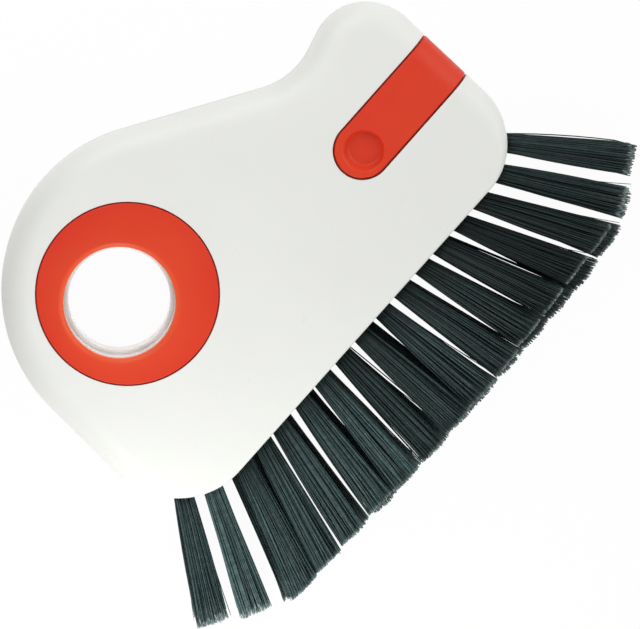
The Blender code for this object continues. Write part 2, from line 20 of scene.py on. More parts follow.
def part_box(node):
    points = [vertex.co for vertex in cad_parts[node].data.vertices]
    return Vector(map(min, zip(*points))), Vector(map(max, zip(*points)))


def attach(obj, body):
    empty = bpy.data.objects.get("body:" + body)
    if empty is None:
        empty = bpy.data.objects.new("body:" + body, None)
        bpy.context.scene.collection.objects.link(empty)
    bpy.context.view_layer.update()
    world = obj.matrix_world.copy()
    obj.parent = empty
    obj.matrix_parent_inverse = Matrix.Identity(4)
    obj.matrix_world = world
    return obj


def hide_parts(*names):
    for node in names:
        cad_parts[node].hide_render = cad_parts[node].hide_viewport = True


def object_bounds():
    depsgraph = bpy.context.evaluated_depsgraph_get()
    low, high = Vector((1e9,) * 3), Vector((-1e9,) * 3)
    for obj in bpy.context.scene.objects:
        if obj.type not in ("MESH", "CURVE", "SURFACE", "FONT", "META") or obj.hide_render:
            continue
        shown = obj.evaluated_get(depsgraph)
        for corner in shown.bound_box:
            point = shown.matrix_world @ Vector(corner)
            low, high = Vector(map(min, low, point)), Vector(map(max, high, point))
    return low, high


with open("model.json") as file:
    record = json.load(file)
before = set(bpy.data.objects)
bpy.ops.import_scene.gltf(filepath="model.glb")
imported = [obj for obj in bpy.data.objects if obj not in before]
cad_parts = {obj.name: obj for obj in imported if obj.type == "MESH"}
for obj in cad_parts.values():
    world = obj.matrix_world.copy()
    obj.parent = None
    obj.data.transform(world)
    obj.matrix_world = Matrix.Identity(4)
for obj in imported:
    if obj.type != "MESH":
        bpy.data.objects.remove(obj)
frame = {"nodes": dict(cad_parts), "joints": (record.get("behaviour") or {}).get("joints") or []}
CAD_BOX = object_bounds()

LOG = logging.getLogger("brush")
MILLIMETRE = 0.001
OVERRUN = 0.001
WELD = 0.000002
SHARP_DEGREES = 32.0
FACE_WEIGHT = 100
SMALL_ROUND_STEPS = 4

# A mix node's sockets go by number, because several of them share a name
MIX_NUMBERS = (2, 3)
MIX_COLOURS = (6, 7)
MIX_COLOUR_OUT = 2

ROOT_BODY = "body"
SLIDER_BODY = "slider"


class Side(Enum):
    """Which half of the brush a piece belongs to; the value is the sign of its height."""

    FRONT = 1
    REAR = -1

    @property
    def word(self) -> str:
        """The name used in node names."""
        return self.name.lower()


class Carving(Enum):
    """What a tool does to the piece that it meets."""

    CUT = "DIFFERENCE"
    JOIN = "UNION"


# Mesh tools

def eased(share: float) -> float:
    """A share from 0 to 1 that starts and ends gently."""
    return share * share * (3 - 2 * share)


def middle_of(node: str) -> Vector:
    """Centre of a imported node, seen from above."""
    low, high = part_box(node)
    return Vector(((low.x + high.x) / 2, (low.y + high.y) / 2))


def circle(sides: int) -> list[tuple[float, float]]:
    """Points of a unit circle, evenly spread."""
    turns = [math.tau * side / sides for side in range(sides)]
    return [(math.cos(turn), math.sin(turn)) for turn in turns]


def as_object(name: str, bm: bmesh.types.BMesh) -> bpy.types.Object:
    """Turn a bmesh into an object at the origin, its faces pointing out.

    Args:
        name: Name of the new object.
        bm: The finished bmesh, which is freed.

    Returns:
        The object, linked to the scene.
    """
    bmesh.ops.remove_doubles(bm, verts=bm.verts[:], dist=WELD)
    bmesh.ops.recalc_face_normals(bm, faces=bm.faces[:])
    mesh = bpy.data.meshes.new(name)
    bm.to_mesh(mesh)
    bm.free()
    thing = bpy.data.objects.new(name, mesh)
    bpy.context.scene.collection.objects.link(thing)
    return thing


def skinned(rings: Sequence[Sequence[Sequence[float]]]) -> bmesh.types.BMesh:
    """Pull a face through rings of points, one extrusion a ring.

    Args:
        rings: Rings with the same number of points, in order.

    Returns:
        A closed bmesh.
    """
    bm = bmesh.new()
    base = [bm.verts.new(point) for point in rings[0]]
    cap = bm.faces.new(base)
    for ring in rings[1:]:
        cap = bmesh.ops.extrude_discrete_faces(bm, faces=[cap])["faces"][0]
        for vert, point in zip(cap.verts, ring):
            vert.co = point
    bm.faces.new(list(reversed(base)))
    return bm


def lathed(profile: Sequence[tuple[float, float]], centre: Vector, sides: int) -> bmesh.types.BMesh:
    """Spin a profile round the vertical through a centre.

    Args:
        profile: Pairs of radius and height, from one end of the solid to the other.
        centre: The axis, of which x and y are used.
        sides: Facets in the full turn.

    Returns:
        A closed bmesh.
    """
    bm = bmesh.new()
    chain = [bm.verts.new((centre.x + radius, centre.y, height)) for radius, height in profile]
    edges = [bm.edges.new(pair) for pair in zip(chain, chain[1:])]
    bmesh.ops.spin(bm, geom=chain + edges, cent=(centre.x, centre.y, 0), axis=(0, 0, 1),
                   angle=math.tau, steps=sides, use_merge=True)
    bmesh.ops.remove_doubles(bm, verts=bm.verts[:], dist=WELD)
    bmesh.ops.holes_fill(bm, edges=[edge for edge in bm.edges if edge.is_boundary], sides=0)
    return bm


def hooped(hoops: Sequence[tuple[float, float, float]], sides: int) -> bmesh.types.BMesh:
    """Pull a circle through others and back to itself, into a ring whose circles may drift in X.

    Args:
        hoops: Centre x, radius and height of each circle, round the ring's section.
        sides: Facets in each circle.

    Returns:
        A closed bmesh.
    """
    bm = bmesh.new()
    x, radius, height = hoops[0]
    bmesh.ops.create_circle(bm, cap_ends=False, segments=sides, radius=radius,
                            matrix=Matrix.Translation((x, 0, height)))
    edges = bm.edges[:]
    for (x, radius, _), (next_x, next_radius, height) in zip(hoops, hoops[1:] + hoops[:1]):
        grown = bmesh.ops.extrude_edge_only(bm, edges=edges)["geom"]
        edges = [item for item in grown if isinstance(item, bmesh.types.BMEdge)]
        for vert in (item for item in grown if isinstance(item, bmesh.types.BMVert)):
            vert.co = (next_x + (vert.co.x - x) * next_radius / radius,
                       vert.co.y * next_radius / radius, height)
    return bm


def fillet(radius: float, steps: int) -> list[tuple[float, float]]:
    """A quarter round as pairs of the run from its wall and the drop from its face.

    Args:
        radius: Radius of the round.
        steps: Facets in the quarter.

    Returns:
        Pairs from the face, where the drop is 0, to the wall, where the run is 0.
    """
    turns = [math.pi / 2 * step / steps for step in range(steps + 1)]
    return [(radius * (1 - math.sin(turn)), radius * (1 - math.cos(turn))) for turn in turns]


@dataclass
class Carver:
    """Collects the tools that shape one object, then uses them all at once."""

    target: bpy.types.Object
    tools: list[bpy.types.Object] = field(default_factory=list)

    def use(self, way: Carving, bm: bmesh.types.BMesh) -> None:
        """Add a tool from a bmesh.

        Args:
            way: What the tool does to the target.
            bm: The tool's shape.
        """
        self.use_object(way, as_object(f"{self.target.name}_tool", bm))

    def use_object(self, way: Carving, tool: bpy.types.Object) -> None:
        """Add an object as a tool; it is gone once the target is carved.

        Args:
            way: What the tool does to the target.
            tool: The object.
        """
        modifier = self.target.modifiers.new(way.name.lower(), "BOOLEAN")
        modifier.operation = way.value
        modifier.solver = "EXACT"
        modifier.object = tool
        self.tools.append(tool)

    def finish(self) -> None:
        """Fix the carved shape in the target's mesh, close its slits and take the tools away."""
        graph = bpy.context.evaluated_depsgraph_get()
        carved = bpy.data.meshes.new_from_object(self.target.evaluated_get(graph))
        self.target.modifiers.clear()
        rough = self.target.data
        self.target.data = carved
        bpy.data.meshes.remove(rough)
        for tool in self.tools:
            bpy.data.objects.remove(tool, do_unlink=True)
        bm = bmesh.new()
        bm.from_mesh(carved)
        bmesh.ops.remove_doubles(bm, verts=bm.verts[:], dist=WELD)
        bmesh.ops.dissolve_degenerate(bm, dist=WELD, edges=bm.edges[:])
        bmesh.ops.delete(bm, geom=[edge for edge in bm.edges if edge.is_wire], context="EDGES")
        slits = [edge for edge in bm.edges if edge.is_boundary]
        bmesh.ops.holes_fill(bm, edges=slits, sides=len(slits))
        bm.to_mesh(carved)
        bm.free()


def dress(thing: bpy.types.Object, finish: "Finish", body: str, slot: str, *nodes: str,
          smooth: bool = True) -> bpy.types.Object:
    """Give a new piece its finish, its body and the nodes that it stands for.

    Args:
        thing: The piece.
        finish: Its surface.
        body: The CAD body that it rides on.
        slot: The record's material slot; not used.
        nodes: The CAD nodes that it replaces.
        smooth: Whether round faces are shaded round.

    Returns:
        The piece.
    """
    mesh = thing.data
    mesh.materials.clear()
    mesh.materials.append(finish.material())
    for face in mesh.polygons:
        face.material_index = 0
    if smooth:
        mesh.shade_smooth()
        mesh.set_sharp_from_angle(angle=math.radians(SHARP_DEGREES))
        weigh = thing.modifiers.new("even faces", "WEIGHTED_NORMAL")
        weigh.keep_sharp = True
        weigh.weight = FACE_WEIGHT
    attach(thing, body)
    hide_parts(*nodes)
    LOG.info("%s: %d faces on %s", thing.name, len(mesh.polygons), body)
    return thing


# Finishes

class NodeBench:
    """Lays out the nodes of one material."""

    def __init__(self, name: str) -> None:
        """Start a material.

        Args:
            name: Its name.
        """
        self.material = bpy.data.materials.new(name)
        self.material.use_nodes = True
        self.tree = self.material.node_tree
        self.shader = self.tree.nodes["Principled BSDF"]

    def node(self, kind: str, **settings: object) -> bpy.types.Node:
        """Add a node.

        Args:
            kind: The node's type.
            settings: Properties to set on it.

        Returns:
            The node.
        """
        made = self.tree.nodes.new(kind)
        for key, value in settings.items():
            setattr(made, key, value)
        return made

    def wire(self, start: bpy.types.NodeSocket, end: bpy.types.NodeSocket) -> None:
        """Link two sockets."""
        self.tree.links.new(start, end)

    def coordinates(self) -> bpy.types.NodeSocket:
        """The Object coordinates."""
        return self.node("ShaderNodeTexCoord").outputs["Object"]

    def noise(self, where: bpy.types.NodeSocket, grain: float, detail: float = 2.0) -> bpy.types.NodeSocket:
        """Noise whose lumps have a size.

        Args:
            where: Coordinates.
            grain: Size of a lump in metres.
            detail: Octaves.

        Returns:
            The noise, from 0 to 1.
        """
        made = self.node("ShaderNodeTexNoise")
        made.inputs["Scale"].default_value = 1 / grain
        made.inputs["Detail"].default_value = detail
        self.wire(where, made.inputs["Vector"])
        return made.outputs["Fac"]

    def spread(self, value: bpy.types.NodeSocket, low: float, high: float,
               start: float = 0.3, end: float = 0.7) -> bpy.types.NodeSocket:
        """Stretch a value from one range to another.

        Args:
            value: The value.
            low: Result at the start.
            high: Result at the end.
            start: Where the range starts.
            end: Where the range ends.

        Returns:
            The stretched value.
        """
        made = self.node("ShaderNodeMapRange")
        for key, number in (("From Min", start), ("From Max", end), ("To Min", low), ("To Max", high)):
            made.inputs[key].default_value = number
        self.wire(value, made.inputs["Value"])
        return made.outputs["Result"]

    def blend(self, share: bpy.types.NodeSocket, low: object, high: object) -> bpy.types.NodeSocket:
        """Mix two colours.

        Args:
            share: How much of the second.
            low: The first, a colour or a socket.
            high: The second, a colour or a socket.

        Returns:
            The mixed colour.
        """
        made = self.node("ShaderNodeMix", data_type="RGBA")
        self.wire(share, made.inputs["Factor"])
        for index, colour in zip(MIX_COLOURS, (low, high)):
            socket = made.inputs[index]
            if isinstance(colour, bpy.types.NodeSocket):
                self.wire(colour, socket)
            else:
                socket.default_value = (*colour, 1.0)
        return made.outputs[MIX_COLOUR_OUT]

    def maths(self, operation: str, first: bpy.types.NodeSocket, second: object) -> bpy.types.NodeSocket:
        """Work out one value from two.

        Args:
            operation: The math node's word for it.
            first: The first, a socket.
            second: The second, a number or a socket.

        Returns:
            The result.
        """
        made = self.node("ShaderNodeMath", operation=operation)
        self.wire(first, made.inputs[0])
        if isinstance(second, bpy.types.NodeSocket):
            self.wire(second, made.inputs[1])
        else:
            made.inputs[1].default_value = second
        return made.outputs[0]

    def bump(self, height: bpy.types.NodeSocket, strength: float, depth: float) -> None:
        """Add relief to the surface.

        Args:
            height: The relief, from 0 to 1.
            strength: How much of it shows.
            depth: What 1 is worth, in metres.
        """
        made = self.node("ShaderNodeBump")
        made.inputs["Strength"].default_value = strength
        made.inputs["Distance"].default_value = depth
        self.wire(height, made.inputs["Height"])
        earlier = self.shader.inputs["Normal"]
        if earlier.is_linked:
            self.wire(earlier.links[0].from_socket, made.inputs["Normal"])
        self.wire(made.outputs["Normal"], earlier)


@dataclass(frozen=True)
class Finish:
    """A surface; each kind lays out its own nodes."""

    name: str
    colour: tuple[float, float, float]
    roughness: float

    def material(self) -> bpy.types.Material:
        """The finish's material, made once."""
        kept = bpy.data.materials.get(self.name)
        return kept if kept else self.lay()

    def lay(self) -> bpy.types.Material:
        """Lay out the nodes."""
        raise NotImplementedError


@dataclass(frozen=True)
class MouldedPlastic(Finish):
    """Plastic from a spark-eroded mould: a fine matt grain, slow clouding and a few specks.

    Where a piece's own polish attribute is 1, the mould was polished, and its colour is lifted to a lighter
    one: painted light.
    """

    cloud: tuple[float, float, float] = (0.5, 0.5, 0.5)
    cloud_size: float = 0.03
    # Colour where the polish attribute is 1: painted light, lighter than the plastic
    polished: tuple[float, float, float] = (0.96, 0.965, 0.945)
    polish_gloss: float = 0.12
    speck: tuple[float, float, float] = (0.4, 0.4, 0.38)
    speck_share: float = 0.25
    speck_size: float = 0.0016
    speck_range: tuple[float, float] = (0.74, 0.8)
    patch_size: float = 0.006
    patch_gloss: float = 0.05
    grain: float = 0.00035
    grain_relief: float = 0.5
    depth: float = 0.000012
    wave_size: float = 0.012
    wave_relief: float = 0.25
    wave_depth: float = 0.000072
    sheen_level: float = 0.4
    through: float = 0.15
    through_reach: tuple[float, float, float] = (0.0016, 0.0015, 0.0013)

    def lay(self) -> bpy.types.Material:
        """Lay out clouded colour, uneven gloss and two scales of grain."""
        bench = NodeBench(self.name)
        where = bench.coordinates()
        clouds = bench.spread(bench.noise(where, self.cloud_size, 3), 0, 1)
        colour = bench.blend(clouds, self.colour, self.cloud)
        specks = bench.spread(bench.noise(where, self.speck_size, 1), 0, self.speck_share, *self.speck_range)
        # The polish attribute lowers the roughness and lifts the colour to a lighter one: painted light
        polish = bench.node("ShaderNodeAttribute", attribute_name="polish").outputs["Fac"]
        bench.wire(bench.blend(polish, bench.blend(specks, colour, self.speck), self.polished),
                   bench.shader.inputs["Base Color"])
        uneven = bench.spread(bench.noise(where, self.patch_size, 4),
                              self.roughness - self.patch_gloss, self.roughness + self.patch_gloss)
        gloss = bench.node("ShaderNodeMix", data_type="FLOAT")
        bench.wire(polish, gloss.inputs["Factor"])
        dull, shiny = MIX_NUMBERS
        bench.wire(uneven, gloss.inputs[dull])
        gloss.inputs[shiny].default_value = self.polish_gloss
        bench.wire(gloss.outputs[0], bench.shader.inputs["Roughness"])
        bench.shader.inputs["Specular IOR Level"].default_value = self.sheen_level
        bench.shader.inputs["Subsurface Weight"].default_value = self.through
        bench.shader.inputs["Subsurface Radius"].default_value = self.through_reach
        bench.shader.inputs["Subsurface Scale"].default_value = 1.0
        bench.bump(bench.noise(where, self.grain, 2), self.grain_relief, self.depth)
        bench.bump(bench.noise(where, self.wave_size, 1), self.wave_relief, self.wave_depth)
        return bench.material


@dataclass(frozen=True)
class Nylon(Finish):
    """Drawn nylon filament: each strand has its own tone, with painted shade near the root and painted light
    that makes the tufts mostly lighter towards the heel and darker towards the nose; its cut end is pale.
    """

    light: tuple[float, float, float] = (0.095, 0.160, 0.158)
    cut_end: tuple[float, float, float] = (0.36, 0.44, 0.43)
    cut_range: tuple[float, float] = (0.975, 0.995)
    cut_share: float = 0.9
    streak_size: float = 0.0012
    streak_shares: tuple[float, float] = (0.6, 1.4)
    sheen_level: float = 0.2

    def lay(self) -> bpy.types.Material:
        """Lay out the strand's tone with its painted light and shade, streaks along it and the pale cut end.
        """
        bench = NodeBench(self.name)
        shade = bench.node("ShaderNodeAttribute", attribute_name="shade").outputs["Fac"]
        along = bench.node("ShaderNodeAttribute", attribute_name="along").outputs["Fac"]
        streaks = bench.noise(bench.coordinates(), self.streak_size, 3)
        tone = bench.maths("MULTIPLY", shade, bench.spread(streaks, *self.streak_shares))
        ends = bench.maths("MULTIPLY", bench.spread(along, 0, 1, *self.cut_range),
                           bench.spread(streaks, 0, self.cut_share))
        colour = bench.blend(tone, self.colour, self.light)
        bench.wire(bench.blend(ends, colour, self.cut_end), bench.shader.inputs["Base Color"])
        bench.shader.inputs["Roughness"].default_value = self.roughness
        bench.shader.inputs["Specular IOR Level"].default_value = self.sheen_level
        return bench.material


@dataclass(frozen=True)
class PlatedSteel(Finish):
    """Zinc-plated steel with fine turning marks."""

    mark_size: float = 0.0004
    mark_tone: float = 0.8
    mark_relief: float = 0.4
    depth: float = 0.000008
    gloss_range: tuple[float, float] = (-0.08, 0.12)

    def lay(self) -> bpy.types.Material:
        """Lay out turning marks in the gloss and the relief."""
        bench = NodeBench(self.name)
        where = bench.coordinates()
        marks = bench.noise(where, self.mark_size, 4)
        bench.wire(bench.blend(marks, self.colour, tuple(part * self.mark_tone for part in self.colour)),
                   bench.shader.inputs["Base Color"])
        bench.wire(bench.spread(marks, *(self.roughness + change for change in self.gloss_range)),
                   bench.shader.inputs["Roughness"])
        bench.shader.inputs["Metallic"].default_value = 1.0
        bench.bump(marks, self.mark_relief, self.depth)
        return bench.material


WHITE = MouldedPlastic("white_satin_plastic", (0.80, 0.81, 0.775), 0.42, cloud=(0.775, 0.785, 0.75),
                       speck=(0.70, 0.70, 0.66), speck_share=0.3)
# The front's white plastic again, darkened for the rear shell: painted shade
REAR_WHITE_PAINTED_SHADE = MouldedPlastic("rear_white_plastic", (0.74, 0.75, 0.72), 0.45, cloud=(0.71, 0.72, 0.69),
                            speck=(0.58, 0.58, 0.54), speck_share=0.3)
# The lighter orange where the polish attribute is 1 is a painted glow round the finger hole
ORANGE = MouldedPlastic("orange_red_plastic", (0.665, 0.029, 0.009), 0.46, cloud=(0.69, 0.047, 0.011),
                        polished=(0.84, 0.12, 0.03), polish_gloss=0.4,
                        speck=(0.63, 0.033, 0.012), speck_share=0.3, grain=0.0003, sheen_level=0.3,
                        through=0.25, through_reach=(0.0014, 0.0003, 0.0001))
GREY = MouldedPlastic("pale_grey_plastic", (0.6, 0.62, 0.6), 0.5, cloud=(0.56, 0.58, 0.56))
BRISTLE = Nylon("slate_nylon", (0.008, 0.014, 0.014), 0.4)
STEEL = PlatedSteel("plated_steel", (0.62, 0.62, 0.61), 0.3)


# The body's shape

@dataclass
class BodyForm:
    """Outline and edges of the body, a belt round five circles."""

    thickness: float
    nose_reach: float = 0.0607
    nose_setback: float = 0.0006
    nose_radius: float = 0.0161
    heel_reach: float = 0.0617
    heel_stand: float = 0.0013
    heel_radius: float = 0.0195
    edge_drop: float = 0.0467
    crest_radius: float = 0.0128
    crest_drop: float = 0.0057
    saddle_radius: float = 0.0179
    saddle_slack: float = 0.0003
    saddle_degrees: float = 112.9
    palm_radius: float = 0.0386
    palm_drop: float = 0.0068
    wall: float = 0.0020
    side_round: float = 0.0065
    edge_round: float = 0.0006
    least_round: float = 0.0004
    round_blend_degrees: float = 95.0
    parting: float = 0.0003
    parting_round: float = 0.0003
    parting_steps: int = 3
    arc_step_degrees: float = 2.0
    round_steps: int = 12

    @classmethod
    def from_frame(cls) -> "BodyForm":
        """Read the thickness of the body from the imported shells."""
        return cls(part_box("front_shell")[1].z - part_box("rear_shell")[0].z)

    def __post_init__(self) -> None:
        """Work out the circles' centres and the stations round the outline."""
        self.half = self.thickness / 2
        self.heel = Vector((self.heel_radius - self.heel_reach - self.heel_stand,
                            self.heel_radius - self.edge_drop))
        self.nose = Vector((self.nose_reach - self.nose_setback - self.nose_radius,
                            self.nose_radius - self.edge_drop))
        self.crest = Vector((self.nose_reach - self.crest_radius, -self.crest_drop))
        self.palm = Vector((self.palm_radius - self.heel_reach, -self.palm_drop))
        turn = math.radians(self.saddle_degrees)
        self.saddle = self.crest + (self.crest_radius + self.saddle_radius + self.saddle_slack) * Vector(
            (math.cos(turn), math.sin(turn)))
        self.stations = self.outline()

    def level(self, side: Side, h: float) -> float:
        """World height of h on one side of the parting plane."""
        return self.half + side.value * h

    def outline(self) -> list[tuple[Vector, Vector]]:
        """Stations round the body.

        Returns:
            Pairs of a point and the normal that points out there.
        """
        belt = ((self.heel, self.heel_radius, 1), (self.nose, self.nose_radius, 1),
                (self.crest, self.crest_radius, 1), (self.saddle, self.saddle_radius, -1),
                (self.palm, self.palm_radius, 1))
        leaving = []
        for (here, radius, turn), (there, next_radius, next_turn) in zip(belt, belt[1:] + belt[:1]):
            step = there - here
            share = (turn * radius - next_turn * next_radius) / step.length
            leaving.append(math.atan2(step.y, step.x) - math.acos(max(-1.0, min(1.0, share))))
        stations = []
        for index, (centre, radius, turn) in enumerate(belt):
            start, end = leaving[index - 1], leaving[index]
            sweep = (end - start) % math.tau if turn > 0 else -((start - end) % math.tau)
            count = max(1, round(abs(sweep) / math.radians(self.arc_step_degrees)))
            for step in range(count + 1):
                angle = start + sweep * step / count
                normal = Vector((math.cos(angle), math.sin(angle)))
                stations.append((centre + turn * radius * normal, normal))
            if centre == self.nose:
                self.nose_normal = normal
        return stations

    def corner_round(self, normal: Vector) -> float:
        """Radius of the rounded edge: small along the bristles, full round the grip."""
        lean = math.acos(max(-1.0, min(1.0, -normal.y)))
        share = min(1.0, lean / math.radians(self.round_blend_degrees))
        return self.edge_round + (self.side_round - self.edge_round) * eased(share)

    def core(self, side: Side, inset: float, start: float, soft_start: float = 0.0) -> bmesh.types.BMesh:
        """Half of the body, drawn in by an inset.

        Args:
            side: Front or rear.
            inset: How far it is drawn in.
            start: Height h at which it starts.
            soft_start: Radius of a small round at the start.

        Returns:
            A closed bmesh.
        """
        rings = []
        for run, drop in fillet(soft_start, self.parting_steps) if soft_start else ((0.0, 0.0),):
            rings.append([(*(point - (inset + run) * normal), self.level(side, start + drop))
                          for point, normal in self.stations])
        for step in range(self.round_steps + 1):
            turn = math.pi / 2 * step / self.round_steps
            ring = []
            for point, normal in self.stations:
                radius = max(self.corner_round(normal) - inset, self.least_round)
                inward = inset + radius * (1 - math.cos(turn))
                h = self.half - inset - radius * (1 - math.sin(turn))
                ring.append((*(point - inward * normal), self.level(side, h)))
            rings.append(ring)
        return skinned(rings)

    def edge_station(self, along: float) -> tuple[Vector, Vector]:
        """Point and outward normal on the bristle edge.

        Args:
            along: Length along the edge from x = 0.

        Returns:
            The point and the normal.
        """
        if self.heel.x <= along <= self.nose.x:
            return Vector((along, -self.edge_drop)), Vector((0, -1))
        centre, radius = self.heel, self.heel_radius
        if along > self.nose.x:
            centre, radius = self.nose, self.nose_radius
        turn = (along - centre.x) / radius
        normal = Vector((math.sin(turn), -math.cos(turn)))
        return centre + radius * normal, normal

    def edge_band(self, outer_inset: float, inner_inset: float, first: float, last: float,
                  low: float, high: float) -> bmesh.types.BMesh:
        """A band along the bristle edge.

        Args:
            outer_inset: Inset of its outer face.
            inner_inset: Inset of its inner face.
            first: Where along the edge it starts.
            last: Where along the edge it ends.
            low: Lower world height.
            high: Upper world height.

        Returns:
            A closed bmesh.
        """
        turn = math.radians(self.arc_step_degrees)
        heel_steps = max(1, round((self.heel.x - first) / (self.heel_radius * turn)))
        nose_steps = max(1, round((last - self.nose.x) / (self.nose_radius * turn)))
        places = [first + (self.heel.x - first) * step / heel_steps for step in range(heel_steps + 1)]
        places += [self.nose.x + (last - self.nose.x) * step / nose_steps
                   for step in range(nose_steps + 1)]
        stations = [self.edge_station(place) for place in places]
        points = [point - outer_inset * normal for point, normal in stations]
        points += [point - inner_inset * normal for point, normal in reversed(stations)]
        return skinned([[(point.x, point.y, z) for point in points] for z in (low, high)])


@dataclass
class TabForm:
    """Sizes of the sliding tab and its recess, with their place read from the frame."""

    body: BodyForm
    centre: Vector
    half_width: float
    low: float
    thickness: float = 0.0028
    swell: float = 0.00028
    gap: float = 0.00010
    clearance: float = 0.0003
    recess_wall: float = 0.0016
    edge_round: float = 0.0003
    edge_steps: int = 5
    draft: float = 0.0004
    draft_depth: float = 0.0012
    lip_round: float = 0.00015
    dimple_drop: float = 0.0003
    dimple_push: float = 0.0009
    dimple_rim: float = 0.0050
    dimple_floor: float = 0.0036
    dimple_depth: float = 0.0018
    dimple_steps: int = 16
    dimple_sides: int = 96
    stem_length: float = 0.0052
    stem_width: float = 0.0044
    stem_round: float = 0.0010
    stem_steps: int = 4
    slot_round_share: float = 0.9
    slot_steps: int = 8
    roll_steps: int = 14
    end_steps: int = 28

    @classmethod
    def from_frame(cls, body: BodyForm) -> "TabForm":
        """Read the tab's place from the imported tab."""
        low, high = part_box("slider_tab")
        half_width = (high.y - low.y) / 2
        centre = Vector((low.x + half_width, (low.y + high.y) / 2))
        return cls(body, centre, half_width + cls.swell, low.z)

    def sweep(self, section: Sequence[tuple[float, float]], end: float) -> bmesh.types.BMesh:
        """Carry a section round the tab's end, along the face, over the nose and down its side.

        Args:
            section: Pairs of half width and depth below the skin, from the top down.
            end: World height at which the sweep stops on the nose side.

        Returns:
            A closed bmesh.
        """
        top = self.body.level(Side.FRONT, self.body.half)
        normal = self.body.nose_normal
        radius = self.body.corner_round(normal)
        nose = (self.body.nose + self.body.nose_radius * normal).x
        nose += (self.body.nose.y + self.body.nose_radius * normal.y - self.centre.y) * normal.y / normal.x
        across = Vector((-normal.y / normal.x, 1, 0))
        up = Vector((0, 0, 1))
        stops = []
        for step in range(self.end_steps + 1):
            turn = math.pi / 2 * (1 - step / self.end_steps)
            left = Vector((-math.sin(turn), math.cos(turn), 0))
            right = Vector((-math.sin(turn), -math.cos(turn), 0))
            stops.append((Vector((*self.centre, top)), left, right, up))
        hub = Vector((nose - radius / normal.x, self.centre.y, top - radius))
        for step in range(self.roll_steps + 1):
            turn = math.pi / 2 * step / self.roll_steps
            out = Vector((*(normal * math.sin(turn)), math.cos(turn)))
            out -= across * out.y
            stops.append((hub + radius * out, across, -across, out))
        stops.append((hub + radius * out + up * (end - hub.z), across, -across, out))
        rings = []
        for place, left, right, out in stops:
            lefts = [place + left * width - out * depth for width, depth in section]
            rights = [place + right * width - out * depth for width, depth in section]
            rings.append(lefts + rights[::-1])
        return skinned(rings)

    def recess(self) -> bmesh.types.BMesh:
        """The recess in the front shell, with a small round at its rim."""
        wall = self.half_width + self.gap
        section = [(wall + self.lip_round, -OVERRUN)]
        section += [(wall + run, drop) for run, drop in fillet(self.lip_round, SMALL_ROUND_STEPS)]
        section.append((wall, self.thickness + self.clearance))
        return self.sweep(section, self.body.half - OVERRUN)

    def tub(self) -> bmesh.types.BMesh:
        """The wall under and beside the recess."""
        wall = self.half_width + self.gap + self.recess_wall
        depth = self.thickness + self.clearance + self.recess_wall
        return self.sweep([(wall, 0), (wall, depth)], self.body.half - OVERRUN * 3)

    def skin(self) -> bmesh.types.BMesh:
        """The tab without its dimple: a skin of the body's own shape, its walls drafted at the top."""
        edge = self.half_width - self.draft
        section = [(edge - run, drop) for run, drop in fillet(self.edge_round, self.edge_steps)]
        section += [(self.half_width, self.draft_depth), (self.half_width, self.thickness)]
        return self.sweep(section, self.low)


# Sub-assemblies

@dataclass(frozen=True)
class TuftTrait:
    """How one column of tufts differs from the even fan: in millimetres, degrees and shares; its shade is
    painted light, mostly lighter towards the heel and darker towards the nose.
    """

    nudge: float
    rear_nudge: float
    lean: float
    rear_lean: float
    extra: float
    rear_extra: float
    spread: float
    rear_spread: float
    shade: float


